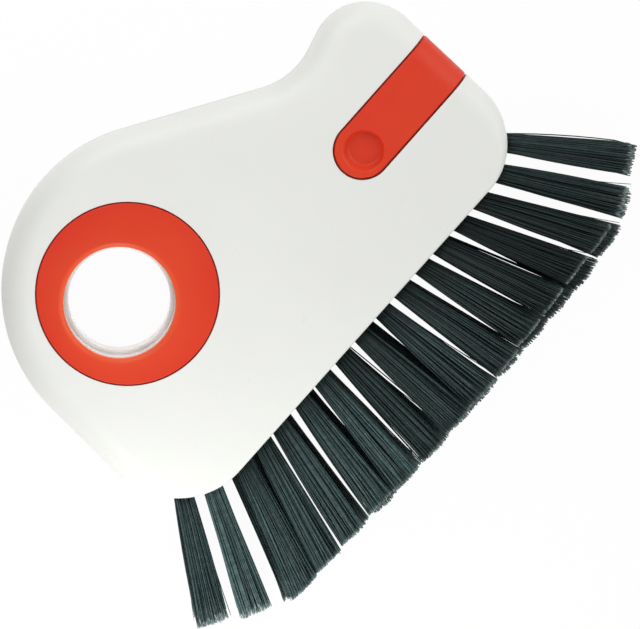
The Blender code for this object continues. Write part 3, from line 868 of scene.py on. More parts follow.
@dataclass
class FingerRings:
    """The soft rings round the finger hole, and the seats that they leave in the shells."""

    body: BodyForm
    hole_radius: float = 0.0129
    hole_shift: float = 0.0028
    rear_bore_step: float = 0.0010
    bore_wall: float = 0.0018
    tub_floor: float = 0.0018
    outer_round: float = 0.0002
    outer_steps: int = 6
    draft: float = 0.00025
    draft_depth: float = 0.0008
    hole_round: float = 0.0014
    hole_steps: int = 14
    glow_reach: float = 0.0018
    clearance: float = 0.0003
    gap: float = 0.00010
    lip_round: float = 0.00015
    sides: int = 144

    def place(self, side: Side) -> tuple[float, float, float, float]:
        """Where a ring lies, from the frame.

        Args:
            side: Front or rear.

        Returns:
            Centre x, radius, and the heights h of its inner and outer face.
        """
        low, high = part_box(f"{side.word}_finger_ring")
        heights = sorted(abs(z - self.body.half) for z in (low.z, high.z))
        return (low.x + high.x) / 2, (high.x - low.x) / 2, heights[0], heights[1]

    def ring(self, side: Side) -> bpy.types.Object:
        """Make one ring.

        Args:
            side: Front or rear.

        Returns:
            The ring, dressed.
        """
        x, radius, bottom, top = self.place(side)
        hole_x = x - self.hole_shift
        hoops = [(x, radius, bottom), (x, radius, top - self.draft_depth)]
        for run, drop in reversed(fillet(self.outer_round, self.outer_steps)):
            hoops.append((x, radius - self.draft - run, top - drop))
        for run, drop in fillet(self.hole_round, self.hole_steps):
            hoops.append((hole_x, self.hole_radius + run, top - drop))
        hoops.append((hole_x, self.hole_radius, bottom))
        name = f"{side.word}_finger_ring"
        ring = as_object(f"{name}_fine", hooped(
            [(centre, size, self.body.level(side, h)) for centre, size, h in hoops], self.sides))
        # Painted light: the orange is lifted to a lighter colour and made glossier round the hole's edge, a
        # painted glow
        self.mark(ring.data, Vector((hole_x, 0)), self.hole_radius, self.hole_radius + self.glow_reach)
        return dress(ring, ORANGE, ROOT_BODY, "orange_plastic", name)

    def lathe(self, side: Side, profile: Iterable[tuple[float, float]], x: float) -> bmesh.types.BMesh:
        """Spin a profile, given with heights h, round an upright axis at x."""
        return lathed([(size, self.body.level(side, h)) for size, h in profile], Vector((x, 0)),
                      self.sides)

    def bore(self, side: Side) -> float:
        """Radius of the way through a shell."""
        return self.hole_radius - (self.rear_bore_step if side is Side.REAR else 0)

    def line(self, side: Side, hollow: Carver) -> None:
        """Leave a shell's wall round the ring's seat and the bore in its hollow.

        Args:
            side: Front or rear.
            hollow: The carver of the shell's hollow.
        """
        x, radius, bottom, _ = self.place(side)
        floor = bottom - self.clearance - self.tub_floor
        tub = radius + self.clearance + self.tub_floor
        high = self.body.half
        hollow.use(Carving.CUT, self.lathe(side, ((0, floor), (tub, floor), (tub, high), (0, high)), x))
        tube = self.bore(side) + self.bore_wall
        hollow.use(Carving.CUT, self.lathe(side, ((0, -OVERRUN * 2), (tube, -OVERRUN * 2),
                                                  (tube, floor + OVERRUN), (0, floor + OVERRUN)),
                                           x - self.hole_shift))

    def open(self, side: Side, carver: Carver) -> None:
        """Cut a shell's seat and bore, each with a soft rim.

        Args:
            side: Front or rear.
            carver: The shell's carver.
        """
        x, radius, bottom, _ = self.place(side)
        body = self.body
        floor = bottom - self.clearance
        rim = radius + self.gap
        seat = [(0, floor), (rim, floor)]
        lip = fillet(self.lip_round, SMALL_ROUND_STEPS)
        seat += [(rim + run, body.half - drop) for run, drop in reversed(lip)]
        seat += [(rim + self.lip_round, body.half + OVERRUN), (0, body.half + OVERRUN)]
        carver.use(Carving.CUT, self.lathe(side, seat, x))
        bore = self.bore(side)
        way = [(0, -OVERRUN), (bore + self.lip_round, -OVERRUN)]
        way += [(bore + run, body.parting / 2 + drop) for run, drop in lip]
        way += [(bore, body.half), (0, body.half)]
        carver.use(Carving.CUT, self.lathe(side, way, x - self.hole_shift))

    @staticmethod
    def mark(mesh: bpy.types.Mesh, axis: Vector, full: float, none: float) -> None:
        """Mark the polished wall of a hole, whose colour is also lifted as painted light, and how the mark
        fades round it.

        Args:
            mesh: The piece's mesh.
            axis: The hole's centre.
            full: Radius up to which it is polished.
            none: Radius from which it isn't.
        """
        polish = mesh.attributes.new("polish", "FLOAT", "POINT")
        for vert in mesh.vertices:
            share = (none - (vert.co.xy - axis).length) / (none - full)
            polish.data[vert.index].value = max(0.0, min(1.0, share))

    def polish(self, side: Side, mesh: bpy.types.Mesh) -> None:
        """Mark the wall of a shell's bore as polished, with its colour lifted as painted light.

        Args:
            side: Front or rear.
            mesh: The finished shell's mesh.
        """
        wall = self.bore(side) + self.lip_round
        self.mark(mesh, Vector((self.place(side)[0] - self.hole_shift, 0)), wall, wall + self.lip_round)


@dataclass
class BristleFan:
    """The fan of tufts and the block that holds their roots."""

    body: BodyForm
    columns: int = 17
    pitch: float = 0.00683
    end_pitch: float = 0.0079
    end_columns: int = 2
    shift: float = 0.0015
    fan_edge_degrees: float = 34.8
    fan_even_share: float = 0.85
    row_spread: float = 0.0070
    row_shift: float = 0.0010
    row_splay_degrees: float = 3.5
    block_inset: float = 0.0008
    block_depth: float = 0.0132
    overhang: float = 0.0047
    mouth_roof: float = 0.0030
    clearance: float = 0.0003
    root_radius: float = 0.0022
    root_depth: float = 0.0065
    post_radius: float = 0.0020
    post_inset: float = 0.0112
    post_pitch: float = 0.0300
    post_count: int = 3
    hole_sides: int = 28
    filaments: int = 180
    filament_radius: float = 0.00017
    filament_sides: int = 5
    filament_rings: int = 7
    tip_radius: float = 0.0041
    ragged: float = 0.007
    end_ragged: float = 0.045
    dark_root_share: float = 0.22
    dark_root_end: float = 0.45
    end_fray: float = 1.012
    end_trim_share: float = 0.15
    bow: float = 0.00022
    rear_flare: float = 1.3
    sink: float = 0.001
    taper_share: float = 0.15
    size_shares: tuple[float, float] = (0.85, 1.1)
    jitter: float = 0.2
    clumps: int = 9
    clump_jitter: float = 0.6
    clump_pull: float = 0.3
    clump_tone_step: float = 0.37
    tone_shares: tuple[float, float, float] = (0.2, 0.8, 0.6)
    stray_share: float = 0.035
    stray_range: tuple[float, float] = (0.3, 1.0)
    stray_lean: float = 0.0020
    stray_slim: float = 0.65
    seed: int = 41
    # All but the shades came from a scratch program's fit to the photograph and were rounded, and many
    # were then changed by hand; the shades were set by hand
    # The shades, the last number of each row, are painted light: mostly lighter towards the heel and darker
    # towards the nose, as the light falls
    traits: tuple[TuftTrait, ...] = tuple(TuftTrait(*row) for row in (
        (-0.05, -0.05, -0.62, -1.20, -0.1, -0.4, 0.95, 0.98, 0.44),
        (-0.75, -1.00, 0.30, -1.00, 0.5, -0.2, 0.96, 0.93, 0.85),
        (1.05, -2.00, 1.88, 2.40, 0.0, -0.3, 0.98, 1.06, 0.53),
        (0.85, -2.00, -0.30, -0.10, 0.2, 0.0, 0.98, 1.07, 0.50),
        (-0.45, -0.15, 0.45, 0.30, 0.2, -0.3, 0.88, 1.01, 0.58),
        (0.35, 0.85, 0.05, 0.20, -0.1, -0.1, 0.98, 1.04, 0.63),
        (0.20, -0.15, -0.70, -0.65, 0.6, -0.1, 1.02, 1.07, 0.65),
        (0.45, -0.10, -0.70, 0.90, 0.8, 0.2, 0.94, 1.08, 0.27),
        (0.30, 0.95, -0.45, 0.00, 0.6, 0.1, 1.04, 1.08, 0.33),
        (0.80, -0.05, -1.60, -1.90, 0.4, 0.2, 1.13, 1.18, 0.34),
        (0.30, 0.10, -0.40, -1.00, 0.2, 0.1, 1.02, 1.13, 0.28),
        (0.70, -0.15, -1.30, -0.90, -0.6, 0.1, 1.06, 1.14, 0.18),
        (0.05, -0.20, -0.35, -0.60, -1.2, 0.1, 1.01, 1.16, 0.10),
        (0.25, -0.80, -0.20, -1.35, -1.6, 0.1, 0.96, 1.16, 0.04),
        (0.10, -0.50, -0.15, -0.90, -1.8, -0.1, 0.97, 1.14, 0.09),
        (0.45, -0.40, -0.70, -1.30, -0.3, 0.8, 0.88, 0.90, 0.19),
        (0.10, -0.30, -0.45, -0.15, -0.7, 0.0, 0.98, 0.95, 0.17)))

    def outward(self, column: int) -> float:
        """Where a column stands, from -1 at the heel to 1 at the nose."""
        return 2 * column / (self.columns - 1) - 1

    def at_end(self, column: int) -> bool:
        """Whether a column is one of the wide-set ones at an end."""
        return not self.end_columns <= column < self.columns - self.end_columns

    def along(self, column: int) -> float:
        """Length along the bristle edge at which a column stands, wider at the ends."""
        steps = column - (self.columns - 1) / 2
        wide = max(0.0, abs(steps) - (self.columns - 1) / 2 + self.end_columns)
        return steps * self.pitch + math.copysign(wide, steps) * (self.end_pitch - self.pitch) - self.shift

    def fan(self, column: int) -> float:
        """Angle at which a column stands, in radians."""
        outward = self.outward(column)
        share = self.fan_even_share * outward + (1 - self.fan_even_share) * outward ** 3
        return math.radians(self.fan_edge_degrees) * share

    def span(self, slack: float) -> tuple[float, float]:
        """Where along the edge the block, with some slack, starts and ends."""
        reach = self.overhang + slack
        return self.along(0) - reach, self.along(self.columns - 1) + reach

    def stance(self, column: int, side: Side) -> Matrix:
        """Place and turn of a tuft, its own +Z pointing along the bristles.

        Args:
            column: Counted from the heel.
            side: Which row.

        Returns:
            The matrix from the tuft's own space to the world.
        """
        trait = self.traits[column]
        along = self.along(column) + trait.nudge * MILLIMETRE
        fan = self.fan(column) + math.radians(trait.lean)
        if side is Side.REAR:
            along += (trait.rear_nudge - trait.nudge) * MILLIMETRE
            along += self.row_shift * (1 - self.outward(column) ** 4)
            fan += math.radians(trait.rear_lean - trait.lean)
        point, normal = self.body.edge_station(along)
        point = point - self.block_inset * normal
        splay = math.radians(self.row_splay_degrees)
        way = Vector((math.sin(fan) * math.cos(splay), -math.cos(fan) * math.cos(splay),
                      side.value * math.sin(splay)))
        place = Vector((point.x, point.y, self.body.level(side, self.row_spread / 2)))
        return Matrix.Translation(place) @ way.to_track_quat("Z", "Y").to_matrix().to_4x4()

    def open(self, side: Side, carver: Carver) -> None:
        """Open a shell's edge for the block.

        Args:
            side: Front or rear.
            carver: The shell's carver.
        """
        body = self.body
        heights = sorted((body.level(side, -OVERRUN), body.level(side, body.half - self.mouth_roof)))
        carver.use(Carving.CUT, body.edge_band(-OVERRUN, body.wall + OVERRUN,
                                               *self.span(self.clearance), *heights))

    def line(self, side: Side, hollow: Carver) -> None:
        """Leave the roof over the block in a shell's hollow.

        Args:
            side: Front or rear.
            hollow: The carver of the shell's hollow.
        """
        body = self.body
        depth = self.block_inset + self.block_depth + self.clearance
        heights = sorted((body.level(side, body.half - self.mouth_roof), body.level(side, body.half)))
        hollow.use(Carving.CUT, body.edge_band(0.0, depth, *self.span(0.0), *heights))

    def posts(self) -> list[float]:
        """Where along the edge the rear shell's posts stand."""
        return [(index - (self.post_count - 1) / 2) * self.post_pitch for index in range(self.post_count)]

    def post(self, x: float, grow: float, low: float) -> bmesh.types.BMesh:
        """A post, or the way for one, from a low height to the top of the block.

        Args:
            x: Where it stands.
            grow: How much wider than a post it is.
            low: World height at which it starts.

        Returns:
            A closed bmesh.
        """
        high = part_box("bristle_block")[1].z + grow
        bm = bmesh.new()
        bmesh.ops.create_cone(bm, cap_ends=True, segments=self.hole_sides, radius1=self.post_radius + grow,
                              radius2=self.post_radius + grow, depth=high - low,
                              matrix=Matrix.Translation((x, self.post_inset - self.body.edge_drop,
                                                         (high + low) / 2)))
        return bm

    def block(self) -> bpy.types.Object:
        """Make the block with a chamfered hole for each tuft.

        Returns:
            The block, dressed.
        """
        low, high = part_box("bristle_block")
        bm = self.body.edge_band(self.block_inset, self.block_inset + self.block_depth,
                                 *self.span(0.0), low.z, high.z)
        block = as_object("bristle_block_fine", bm)
        carver = Carver(block)
        for x in self.posts():
            carver.use(Carving.CUT, self.post(x, self.clearance, low.z - OVERRUN))
        wide = self.root_radius + self.clearance
        for side in Side:
            for column in range(self.columns):
                hole = lathed(((0, -self.root_depth - self.clearance),
                               (wide, -self.root_depth - self.clearance), (wide, -self.clearance),
                               (wide + self.clearance, self.clearance),
                               (wide + self.clearance, wide), (0, wide)), Vector((0, 0)), self.hole_sides)
                bmesh.ops.transform(hole, matrix=self.stance(column, side), verts=hole.verts[:])
                carver.use(Carving.CUT, hole)
        carver.finish()
        return dress(block, GREY, ROOT_BODY, "grey_plastic", "bristle_block")

    def filament_mesh(self) -> bpy.types.Mesh:
        """One filament of unit radius and unit length, to be copied and bent.

        Returns:
            The mesh, its rings in order from root to tip.
        """
        bm = skinned([[(x, y, ring / self.filament_rings) for x, y in circle(self.filament_sides)]
                      for ring in range(self.filament_rings + 1)])
        mesh = bpy.data.meshes.new("filament")
        bm.to_mesh(mesh)
        bm.free()
        return mesh

    def tuft(self, column: int, side: Side, filament: bpy.types.Mesh) -> bpy.types.Object:
        """Make one tuft: a root and its filaments, fanned and cut a little ragged.

        Args:
            column: Counted from the heel.
            side: Which row.
            filament: The filament to copy.

        Returns:
            The tuft, dressed.
        """
        node = f"tuft_{side.word}_{column + 1:02d}"
        dice = random.Random(f"{self.seed} {node}")
        stance = self.stance(column, side)
        trait = self.traits[column]
        front = side is Side.FRONT
        reach = self.reach_of(node, stance) + (trait.extra if front else trait.rear_extra) * MILLIMETRE
        trim = self.trim(column, reach)
        tip_radius = self.tip_radius * (trait.spread if front else trait.rear_spread)
        ragged, fray = (self.end_ragged, self.end_fray) if self.at_end(column) else (self.ragged, 1.0)
        flare = 1.0 if front or self.at_end(column) else self.rear_flare
        bm = bmesh.new()
        for _ in range(self.filaments):
            bm.from_mesh(filament)
        bm.verts.ensure_lookup_table()
        shade = bm.verts.layers.float.new("shade")
        along = bm.verts.layers.float.new("along")
        each = len(filament.vertices)
        clumps = [self.sunflower(index, self.clumps, self.clump_jitter, dice)
                  for index in range(self.clumps)]
        plain, own, shared = self.tone_shares
        for index in range(self.filaments):
            spot = self.sunflower(index, self.filaments, self.jitter, dice)
            root = spot * (self.root_radius - self.filament_radius)
            nearest = min(clumps, key=lambda clump: (clump - spot).length)
            tip = spot.lerp(nearest, self.clump_pull * dice.random()) * tip_radius
            stray = Vector((0, 0))
            slim = 1.0
            if dice.random() < self.stray_share:
                stray = spot * dice.uniform(*self.stray_range) * self.stray_lean
                slim = self.stray_slim
            bow = Vector((dice.gauss(0, 1), dice.gauss(0, 1))) * self.bow
            length = reach * (1 - ragged * dice.random() ** 2) + trim * tip.x
            clump_tone = clumps.index(nearest) * self.clump_tone_step % 1
            # Painted light and shade: the tuft's shade stands in for how the light falls across the fan, and
            # tone() darkens the root as painted shade
            tone = trait.shade * (plain + dice.random() * own + clump_tone * shared)
            size = self.filament_radius * dice.uniform(*self.size_shares) * slim
            for vert in bm.verts[index * each:(index + 1) * each]:
                t = vert.co.z
                line = root.lerp(tip, t ** flare) + bow * (4 * t * (1 - t)) + stray * t ** 3
                vert[shade] = tone * self.tone(column, t)
                vert[along] = t * fray
                vert.co = (line.x + vert.co.x * size * (1 - self.taper_share * t),
                           line.y + vert.co.y * size * (1 - self.taper_share * t),
                           t * length - (1 - t) * self.sink)
        middle = -self.root_depth / 2 - self.clearance
        bmesh.ops.create_cone(bm, cap_ends=True, segments=self.hole_sides, radius1=self.root_radius,
                              radius2=self.root_radius, depth=self.root_depth - 2 * self.clearance,
                              matrix=Matrix.Translation((0, 0, middle)))
        bmesh.ops.transform(bm, matrix=stance, verts=bm.verts[:])
        self.hold_inside(bm)
        mesh = bpy.data.meshes.new(f"{node}_fine")
        bm.to_mesh(mesh)
        bm.free()
        tuft = bpy.data.objects.new(f"{node}_fine", mesh)
        bpy.context.scene.collection.objects.link(tuft)
        mesh.shade_smooth()
        return dress(tuft, BRISTLE, ROOT_BODY, "slate_bristle", node, smooth=False)

    @staticmethod
    def sunflower(index: int, count: int, jitter: float, dice: random.Random) -> Vector:
        """A spot on the unit disc, evenly spread with some jitter.

        Args:
            index: Which spot.
            count: How many there are.
            jitter: How far its turn may stray, in radians.
            dice: The source of chance.

        Returns:
            The spot.
        """
        share = math.sqrt((index + 0.5) / count)
        turn = index * math.pi * (3 - math.sqrt(5)) + dice.uniform(-jitter, jitter)
        return share * Vector((math.cos(turn), math.sin(turn)))

    def tone(self, column: int, t: float) -> float:
        """How much of its shade a filament shows: less near the root, where its neighbours shade it."""
        root = 1.0 if self.at_end(column) else self.dark_root_share
        return root + (1 - root) * eased(min(1.0, t / self.dark_root_end))

    def trim(self, column: int, reach: float) -> float:
        """Slope of a tuft's cut end, which follows the line of the tips."""
        fan = self.fan(column)
        step = math.radians(self.fan_edge_degrees) * self.fan_even_share * 2 / (self.columns - 1)
        slope = self.pitch * math.sin(fan) / (self.pitch * math.cos(fan) + reach * step)
        return slope * (self.end_trim_share if self.at_end(column) else 1.0)

    def reach_of(self, node: str, stance: Matrix) -> float:
        """Length of a tuft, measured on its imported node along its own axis."""
        back = stance.inverted()
        return max((back @ vert.co).z for vert in frame["nodes"][node].data.vertices)

    @staticmethod
    def hold_inside(bm: bmesh.types.BMesh) -> None:
        """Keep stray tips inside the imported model's box."""
        low, high = CAD_BOX
        for vert in bm.verts:
            vert.co = [max(a, min(b, c)) for a, b, c in zip(low, high, vert.co)]

    def tufts(self) -> None:
        """Make both rows."""
        filament = self.filament_mesh()
        for side in Side:
            for column in range(self.columns):
                self.tuft(column, side, filament)
        bpy.data.meshes.remove(filament)


@dataclass
class Screws:
    """The screws that close the shells, and the ways that they leave in them."""

    body: BodyForm
    count: int = 4
    clearance: float = 0.0003
    head_height: float = 0.0020
    head_wall: float = 0.0012
    pilot_wall: float = 0.0016
    shank_radius: float = 0.0013
    reach: float = 0.0060
    tab_head_height: float = 0.0012
    tab_shank_radius: float = 0.00095
    crown_share: float = 0.6
    crown_steps: int = 8
    crown_start: int = 3
    pitch_share: float = 0.75
    thread_root_share: float = 0.8
    point_share: float = 0.5
    drive_share: float = 0.62
    drive_width_share: float = 0.3
    drive_depth_share: float = 0.55
    drive_taper_shares: tuple[float, float] = (1.05, 0.7)
    lip_round: float = 0.0003
    sides: int = 40

    def places(self) -> list[tuple[Vector, float, float]]:
        """Centre, head radius and seat height of each screw, from the frame."""
        found = []
        for index in range(self.count):
            node = f"shell_screw_{index + 1}"
            low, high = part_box(node)
            found.append((middle_of(node), (high.x - low.x) / 2, low.z + self.head_height))
        return found

    def line(self, side: Side, hollow: Carver) -> None:
        """Leave the screw bosses in a shell's hollow.

        Args:
            side: Front or rear.
            hollow: The carver of the shell's hollow.
        """
        body = self.body
        for centre, head, _ in self.places():
            wide = head + self.clearance + self.head_wall
            if side is Side.FRONT:
                wide = self.shank_radius + self.clearance + self.pilot_wall
            heights = sorted((body.level(side, -OVERRUN * 2), body.level(side, body.half)))
            hollow.use(Carving.CUT, self.drum(centre, wide, *heights))

    def open(self, side: Side, carver: Carver) -> None:
        """Open a shell's screw ways.

        Args:
            side: Front or rear.
            carver: The shell's carver.
        """
        body = self.body
        pilot = self.shank_radius + self.clearance
        for centre, head, seat in self.places():
            if side is Side.FRONT:
                carver.use(Carving.CUT, self.drum(centre, pilot, body.half - OVERRUN,
                                                  body.level(side, self.reach + self.clearance)))
                continue
            floor = seat + self.clearance
            mouth = head + self.clearance
            profile = [(0, floor), (mouth, floor)]
            lip = fillet(self.lip_round, SMALL_ROUND_STEPS)
            profile += [(mouth + run, drop) for run, drop in reversed(lip)]
            profile += [(mouth + self.lip_round, -OVERRUN), (0, -OVERRUN)]
            carver.use(Carving.CUT, lathed(profile, centre, self.sides))
            carver.use(Carving.CUT, self.drum(centre, pilot, floor - OVERRUN, body.half + OVERRUN))

    def drum(self, centre: Vector, radius: float, low: float, high: float) -> bmesh.types.BMesh:
        """An upright cylinder between two world heights."""
        bm = bmesh.new()
        bmesh.ops.create_cone(bm, cap_ends=True, segments=self.sides, radius1=radius, radius2=radius,
                              depth=high - low,
                              matrix=Matrix.Translation((centre.x, centre.y, (low + high) / 2)))
        return bm

    def screw(self, node: str, head_height: float, shank_radius: float, body: str) -> bpy.types.Object:
        """Make one pan-head screw with a cross drive.

        Args:
            node: The node that it stands for.
            head_height: Height of its head.
            shank_radius: Radius of its shank.
            body: The CAD body that it rides on.

        Returns:
            The screw, dressed.
        """
        low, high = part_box(node)
        centre = middle_of(node)
        head = (high.x - low.x) / 2
        seat = low.z + head_height
        profile = [(0, low.z)]
        for step in range(self.crown_start, self.crown_steps + 1):
            turn = math.pi / 2 * step / self.crown_steps
            profile.append((head * math.sin(turn),
                            low.z + head_height * self.crown_share * (1 - math.cos(turn))))
        profile += [(head, seat), (shank_radius, seat)]
        thread = seat
        pitch = shank_radius * self.pitch_share
        while thread + pitch < high.z - shank_radius:
            profile += [(shank_radius * self.thread_root_share, thread + pitch / 2),
                        (shank_radius, thread + pitch)]
            thread += pitch
        profile += [(shank_radius * self.point_share, high.z), (0, high.z)]
        screw = as_object(f"{node}_fine", lathed(profile, centre, self.sides))
        carver = Carver(screw)
        arm = head * self.drive_share
        half = arm * self.drive_width_share
        corners = [Vector((arm, -half)), Vector((arm, half)), Vector((half, half))]
        cross = [Matrix.Rotation(math.pi / 2 * turn, 2) @ corner for turn in range(4) for corner in corners]
        wide, narrow = self.drive_taper_shares
        stops = ((wide, low.z - OVERRUN), (1.0, low.z),
                 (narrow, low.z + head_height * self.drive_depth_share))
        carver.use(Carving.CUT, skinned([[(centre.x + size * point.x, centre.y + size * point.y, z)
                                          for point in cross] for size, z in stops]))
        carver.finish()
        return dress(screw, STEEL, body, "screw_steel", node)

    def all(self) -> None:
        """Make the shell screws and the tab's screw."""
        for index in range(self.count):
            self.screw(f"shell_screw_{index + 1}", self.head_height, self.shank_radius, ROOT_BODY)
        self.screw("slider_screw", self.tab_head_height, self.tab_shank_radius, SLIDER_BODY)


@dataclass
class Shells:
    """The two moulded halves of the body."""

    body: BodyForm
    tab: TabForm
    rings: FingerRings
    fan: BristleFan
    screws: Screws

    def shell(self, side: Side, finish: Finish) -> bpy.types.Object:
        """Make one half.

        Args:
            side: Front or rear.
            finish: Its surface.

        Returns:
            The shell, dressed.
        """
        body = self.body
        node = f"{side.word}_shell"
        hollow = as_object(f"{node}_hollow", body.core(side, body.wall, -OVERRUN))
        inner = Carver(hollow)
        for fitting in (self.rings, self.fan, self.screws):
            fitting.line(side, inner)
        if side is Side.FRONT:
            inner.use(Carving.CUT, self.tab.tub())
        inner.finish()

        shell = as_object(f"{node}_fine", body.core(side, 0, body.parting / 2, body.parting_round))
        carver = Carver(shell)
        carver.use_object(Carving.CUT, hollow)
        for fitting in (self.rings, self.fan, self.screws):
            fitting.open(side, carver)
        if side is Side.FRONT:
            carver.use(Carving.CUT, self.tab.recess())
            carver.use(Carving.CUT, self.slot())
        else:
            for x in self.fan.posts():
                carver.use(Carving.JOIN, self.fan.post(x, 0.0, body.wall / 2))
        carver.finish()
        # The bore's wall is glossier and lifted to a lighter colour: painted light
        self.rings.polish(side, shell.data)
        return dress(shell, finish, ROOT_BODY, "white_plastic", node)

    def slot(self) -> bmesh.types.BMesh:
        """The slot in the recess floor, as long as the stem and its travel."""
        tab = self.tab
        travel = next(joint for joint in frame["joints"] if joint["name"] == "tab_slide")["range_m"][1]
        half = tab.stem_width / 2 + tab.clearance
        start = tab.centre.x - tab.stem_length / 2 - tab.clearance
        end = tab.centre.x + tab.stem_length / 2 + travel + tab.clearance
        floor = self.body.level(Side.FRONT, self.body.half - tab.thickness - tab.clearance)
        corners = [(start, -half), (end, -half), (end, half), (start, half)]
        bm = skinned([[(x, tab.centre.y + y, z) for x, y in corners]
                      for z in (floor - tab.recess_wall - OVERRUN, floor + OVERRUN / 2)])
        uprights = [edge for edge in bm.edges if abs(edge.verts[0].co.z - edge.verts[1].co.z) > OVERRUN]
        bmesh.ops.bevel(bm, geom=uprights, offset=half * tab.slot_round_share, segments=tab.slot_steps,
                        profile=0.5, affect="EDGES", material=-1)
        return bm


@dataclass
class Slider:
    """The orange tab with its thumb dimple, and the carriage under it."""

    tab: TabForm

    def piece(self) -> bpy.types.Object:
        """Make the tab.

        Returns:
            The tab, dressed.
        """
        tab = self.tab
        top = tab.body.level(Side.FRONT, tab.body.half)
        piece = as_object("slider_tab_fine", tab.skin())
        carver = Carver(piece)
        carver.use(Carving.JOIN, self.stem())
        carver.use(Carving.CUT, self.dimple(top))
        carver.finish()
        return dress(piece, ORANGE, SLIDER_BODY, "orange_plastic", "slider_tab")

    def stem(self) -> bmesh.types.BMesh:
        """The stem that runs through the slot."""
        tab = self.tab
        low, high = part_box("slider_carriage")
        top = tab.body.level(Side.FRONT, tab.body.half - tab.thickness + tab.clearance)
        bottom = high.z + tab.clearance
        bm = bmesh.new()
        size = Matrix.Diagonal((tab.stem_length, tab.stem_width, top - bottom, 1))
        centre = Matrix.Translation((tab.centre.x, tab.centre.y, (top + bottom) / 2))
        bmesh.ops.create_cube(bm, size=1, matrix=centre @ size)
        uprights = [edge for edge in bm.edges if edge.verts[0].co.xy == edge.verts[1].co.xy]
        bmesh.ops.bevel(bm, geom=uprights, offset=tab.stem_round, segments=tab.stem_steps, profile=0.5,
                        affect="EDGES", material=-1)
        return bm

    def dimple(self, top: float) -> bmesh.types.BMesh:
        """The thumb dimple's cutter: a soft rim and a wall that is steeper on the side that is pushed.

        Args:
            top: World height of the tab's face.

        Returns:
            A closed bmesh.
        """
        tab = self.tab
        stops = []
        for step in range(tab.dimple_steps + 1):
            share = step / tab.dimple_steps
            stops.append((tab.dimple_push * (1 - share), top - tab.dimple_depth * (1 - eased(share)),
                          tab.dimple_floor + (tab.dimple_rim - tab.dimple_floor) * share))
        stops.append((0, top + OVERRUN, tab.dimple_rim))
        middle = tab.centre - Vector((0, tab.dimple_drop))
        return skinned([[(middle.x + push + radius * x, middle.y + radius * y, z)
                         for x, y in circle(tab.dimple_sides)] for push, z, radius in stops])

    def carriage(self) -> None:
        """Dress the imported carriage."""
        node = frame["nodes"]["slider_carriage"]
        node.data.materials.clear()
        node.data.materials.append(GREY.material())


# Studio

@dataclass(frozen=True)
class LampPlan:
    """A square soft lamp: its place from the aim, in metres, the length of its side and its watts."""

    name: str
    right: float
    top: float
    height: float
    size: float
    power: float


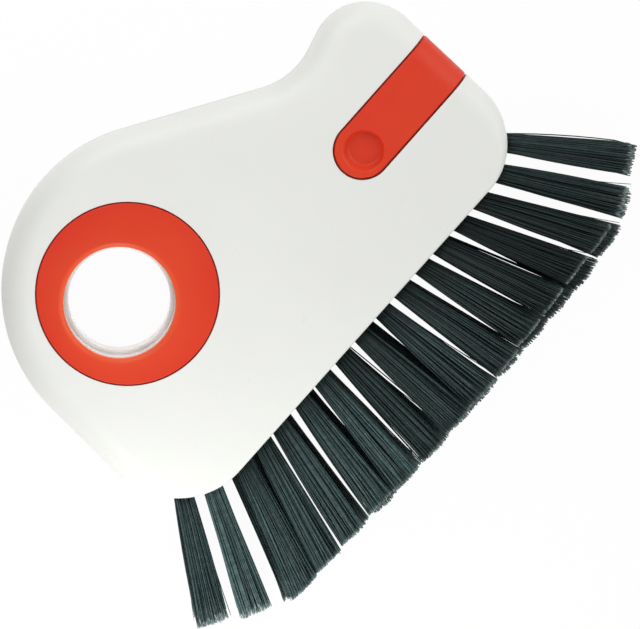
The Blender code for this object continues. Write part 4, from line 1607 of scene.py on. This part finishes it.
@dataclass
class Studio:
    """Camera, lamps, floor and surroundings."""

    body: BodyForm
    pixels_per_metre: float = 4330.0
    picture_width: int = 640
    distance: float = 1.0
    roll_degrees: float = 48.3
    tilt_up_degrees: float = 5.15
    tilt_left_degrees: float = 3.0
    aim: tuple[float, float] = (-0.0038, -0.0364)
    sensor: float = 36.0
    ambient: float = 0.48
    floor_half: float = 3.0
    floor_drop: float = 0.0002
    floor_tone: float = 0.88
    floor_roughness: float = 0.9
    floor_sheen: float = 0.1
    floor_glow: float = 0.96
    floor_fill: float = 0.6
    # A scratch program's fit to the photograph's tones gave these, which were then rounded by hand
    lamps: tuple[LampPlan, ...] = (
        LampPlan("key", -0.10, 0.20, 0.14, 0.16, 0.225),
        LampPlan("side", 0.32, 0.15, 0.22, 0.3, 0.58),
        LampPlan("low", -0.042, -0.12, 0.09, 0.07, 0.115))

    def __post_init__(self) -> None:
        """Work out which way the picture's right and top lie on the brush."""
        roll = math.radians(self.roll_degrees)
        self.right = Vector((math.cos(roll), -math.sin(roll), 0))
        self.top = Vector((math.sin(roll), math.cos(roll), 0))

    def spot(self, right: float, top: float, height: float) -> Vector:
        """A point given from the aim, in the picture's directions and up."""
        return Vector((*self.aim, height)) + self.right * right + self.top * top

    def camera(self) -> None:
        """Set up the camera at the photograph's angle."""
        data = bpy.data.cameras.new("camera")
        data.sensor_width = self.sensor
        data.sensor_fit = "HORIZONTAL"
        data.lens = self.sensor * self.pixels_per_metre * self.distance / self.picture_width
        camera = bpy.data.objects.new("camera", data)
        bpy.context.scene.collection.objects.link(camera)
        back = Vector((0, 0, 1)) + self.top * math.tan(math.radians(self.tilt_up_degrees))
        back = (back - self.right * math.tan(math.radians(self.tilt_left_degrees))).normalized()
        side = self.top.cross(back).normalized()
        turn = Matrix((side, back.cross(side), back)).transposed()
        camera.location = Vector((*self.aim, self.body.thickness)) + back * self.distance
        camera.rotation_mode = "QUATERNION"
        camera.rotation_quaternion = turn.to_quaternion()
        bpy.context.scene.camera = camera

    def lamp(self, plan: LampPlan) -> None:
        """Add a lamp that looks at the brush.

        Args:
            plan: Where it stands, how large and how bright it is.
        """
        data = bpy.data.lights.new(plan.name, "AREA")
        data.size = plan.size
        data.energy = plan.power
        lamp = bpy.data.objects.new(plan.name, data)
        bpy.context.scene.collection.objects.link(lamp)
        place = self.spot(plan.right, plan.top, plan.height)
        lamp.location = place
        lamp.rotation_mode = "QUATERNION"
        lamp.rotation_quaternion = (self.spot(0, 0, 0) - place).to_track_quat("-Z", "Y")

    def floor(self) -> None:
        """Lay a pale floor that keeps the brush's shadow and glows a little, as a lit table does."""
        bm = bmesh.new()
        bmesh.ops.create_grid(bm, x_segments=1, y_segments=1, size=self.floor_half,
                              matrix=Matrix.Translation((0, 0, -self.floor_drop)))
        floor = as_object("floor", bm)
        bench = NodeBench("pale_floor")
        tone = self.floor_tone
        bench.shader.inputs["Base Color"].default_value = (tone, tone, tone, 1)
        bench.shader.inputs["Roughness"].default_value = self.floor_roughness
        bench.shader.inputs["Specular IOR Level"].default_value = self.floor_sheen
        seen = bench.node("ShaderNodeLightPath").outputs
        looked_at = bench.maths("MAXIMUM", seen["Is Camera Ray"], seen["Is Glossy Ray"])
        glow = bench.maths("MAXIMUM", bench.maths("MULTIPLY", looked_at, self.floor_glow),
                           bench.maths("MULTIPLY", seen["Is Diffuse Ray"], self.floor_fill))
        mix = bench.node("ShaderNodeMixShader")
        bench.wire(glow, mix.inputs[0])
        bench.wire(bench.shader.outputs[0], mix.inputs[1])
        bench.wire(bench.node("ShaderNodeEmission").outputs[0], mix.inputs[2])
        bench.wire(mix.outputs[0], bench.tree.nodes["Material Output"].inputs["Surface"])
        floor.data.materials.append(bench.material)

    def surroundings(self) -> None:
        """A white surround for the camera and for gloss, and a softer one for light."""
        world = bpy.data.worlds.new("surround")
        bpy.context.scene.world = world
        world.use_nodes = True
        tree = world.node_tree
        back = tree.nodes["Background"]
        seen = tree.nodes.new("ShaderNodeLightPath")
        most = seen.outputs["Is Camera Ray"]
        for other in ("Is Glossy Ray", "Is Transmission Ray"):
            greater = tree.nodes.new("ShaderNodeMath")
            greater.operation = "MAXIMUM"
            tree.links.new(most, greater.inputs[0])
            tree.links.new(seen.outputs[other], greater.inputs[1])
            most = greater.outputs[0]
        strength = tree.nodes.new("ShaderNodeMapRange")
        strength.inputs["To Min"].default_value = self.ambient
        strength.inputs["To Max"].default_value = 1.0
        tree.links.new(most, strength.inputs["Value"])
        tree.links.new(strength.outputs["Result"], back.inputs["Strength"])
        back.inputs["Color"].default_value = (1, 1, 1, 1)

    def build(self) -> None:
        """Set everything up."""
        bpy.context.scene.view_settings.view_transform = "Standard"
        self.camera()
        self.floor()
        self.surroundings()
        for plan in self.lamps:
            self.lamp(plan)


def main() -> None:
    """Build every piece in order."""
    logging.basicConfig(level=logging.INFO, format="%(name)s %(message)s")
    body = BodyForm.from_frame()
    tab = TabForm.from_frame(body)
    rings = FingerRings(body)
    fan = BristleFan(body)
    screws = Screws(body)
    shells = Shells(body, tab, rings, fan, screws)
    slider = Slider(tab)
    shells.shell(Side.FRONT, WHITE)
    shells.shell(Side.REAR, REAR_WHITE_PAINTED_SHADE)
    rings.ring(Side.FRONT)
    rings.ring(Side.REAR)
    slider.piece()
    slider.carriage()
    screws.all()
    fan.block()
    fan.tufts()
    Studio(body).build()


if __name__ == "__main__":
    main()
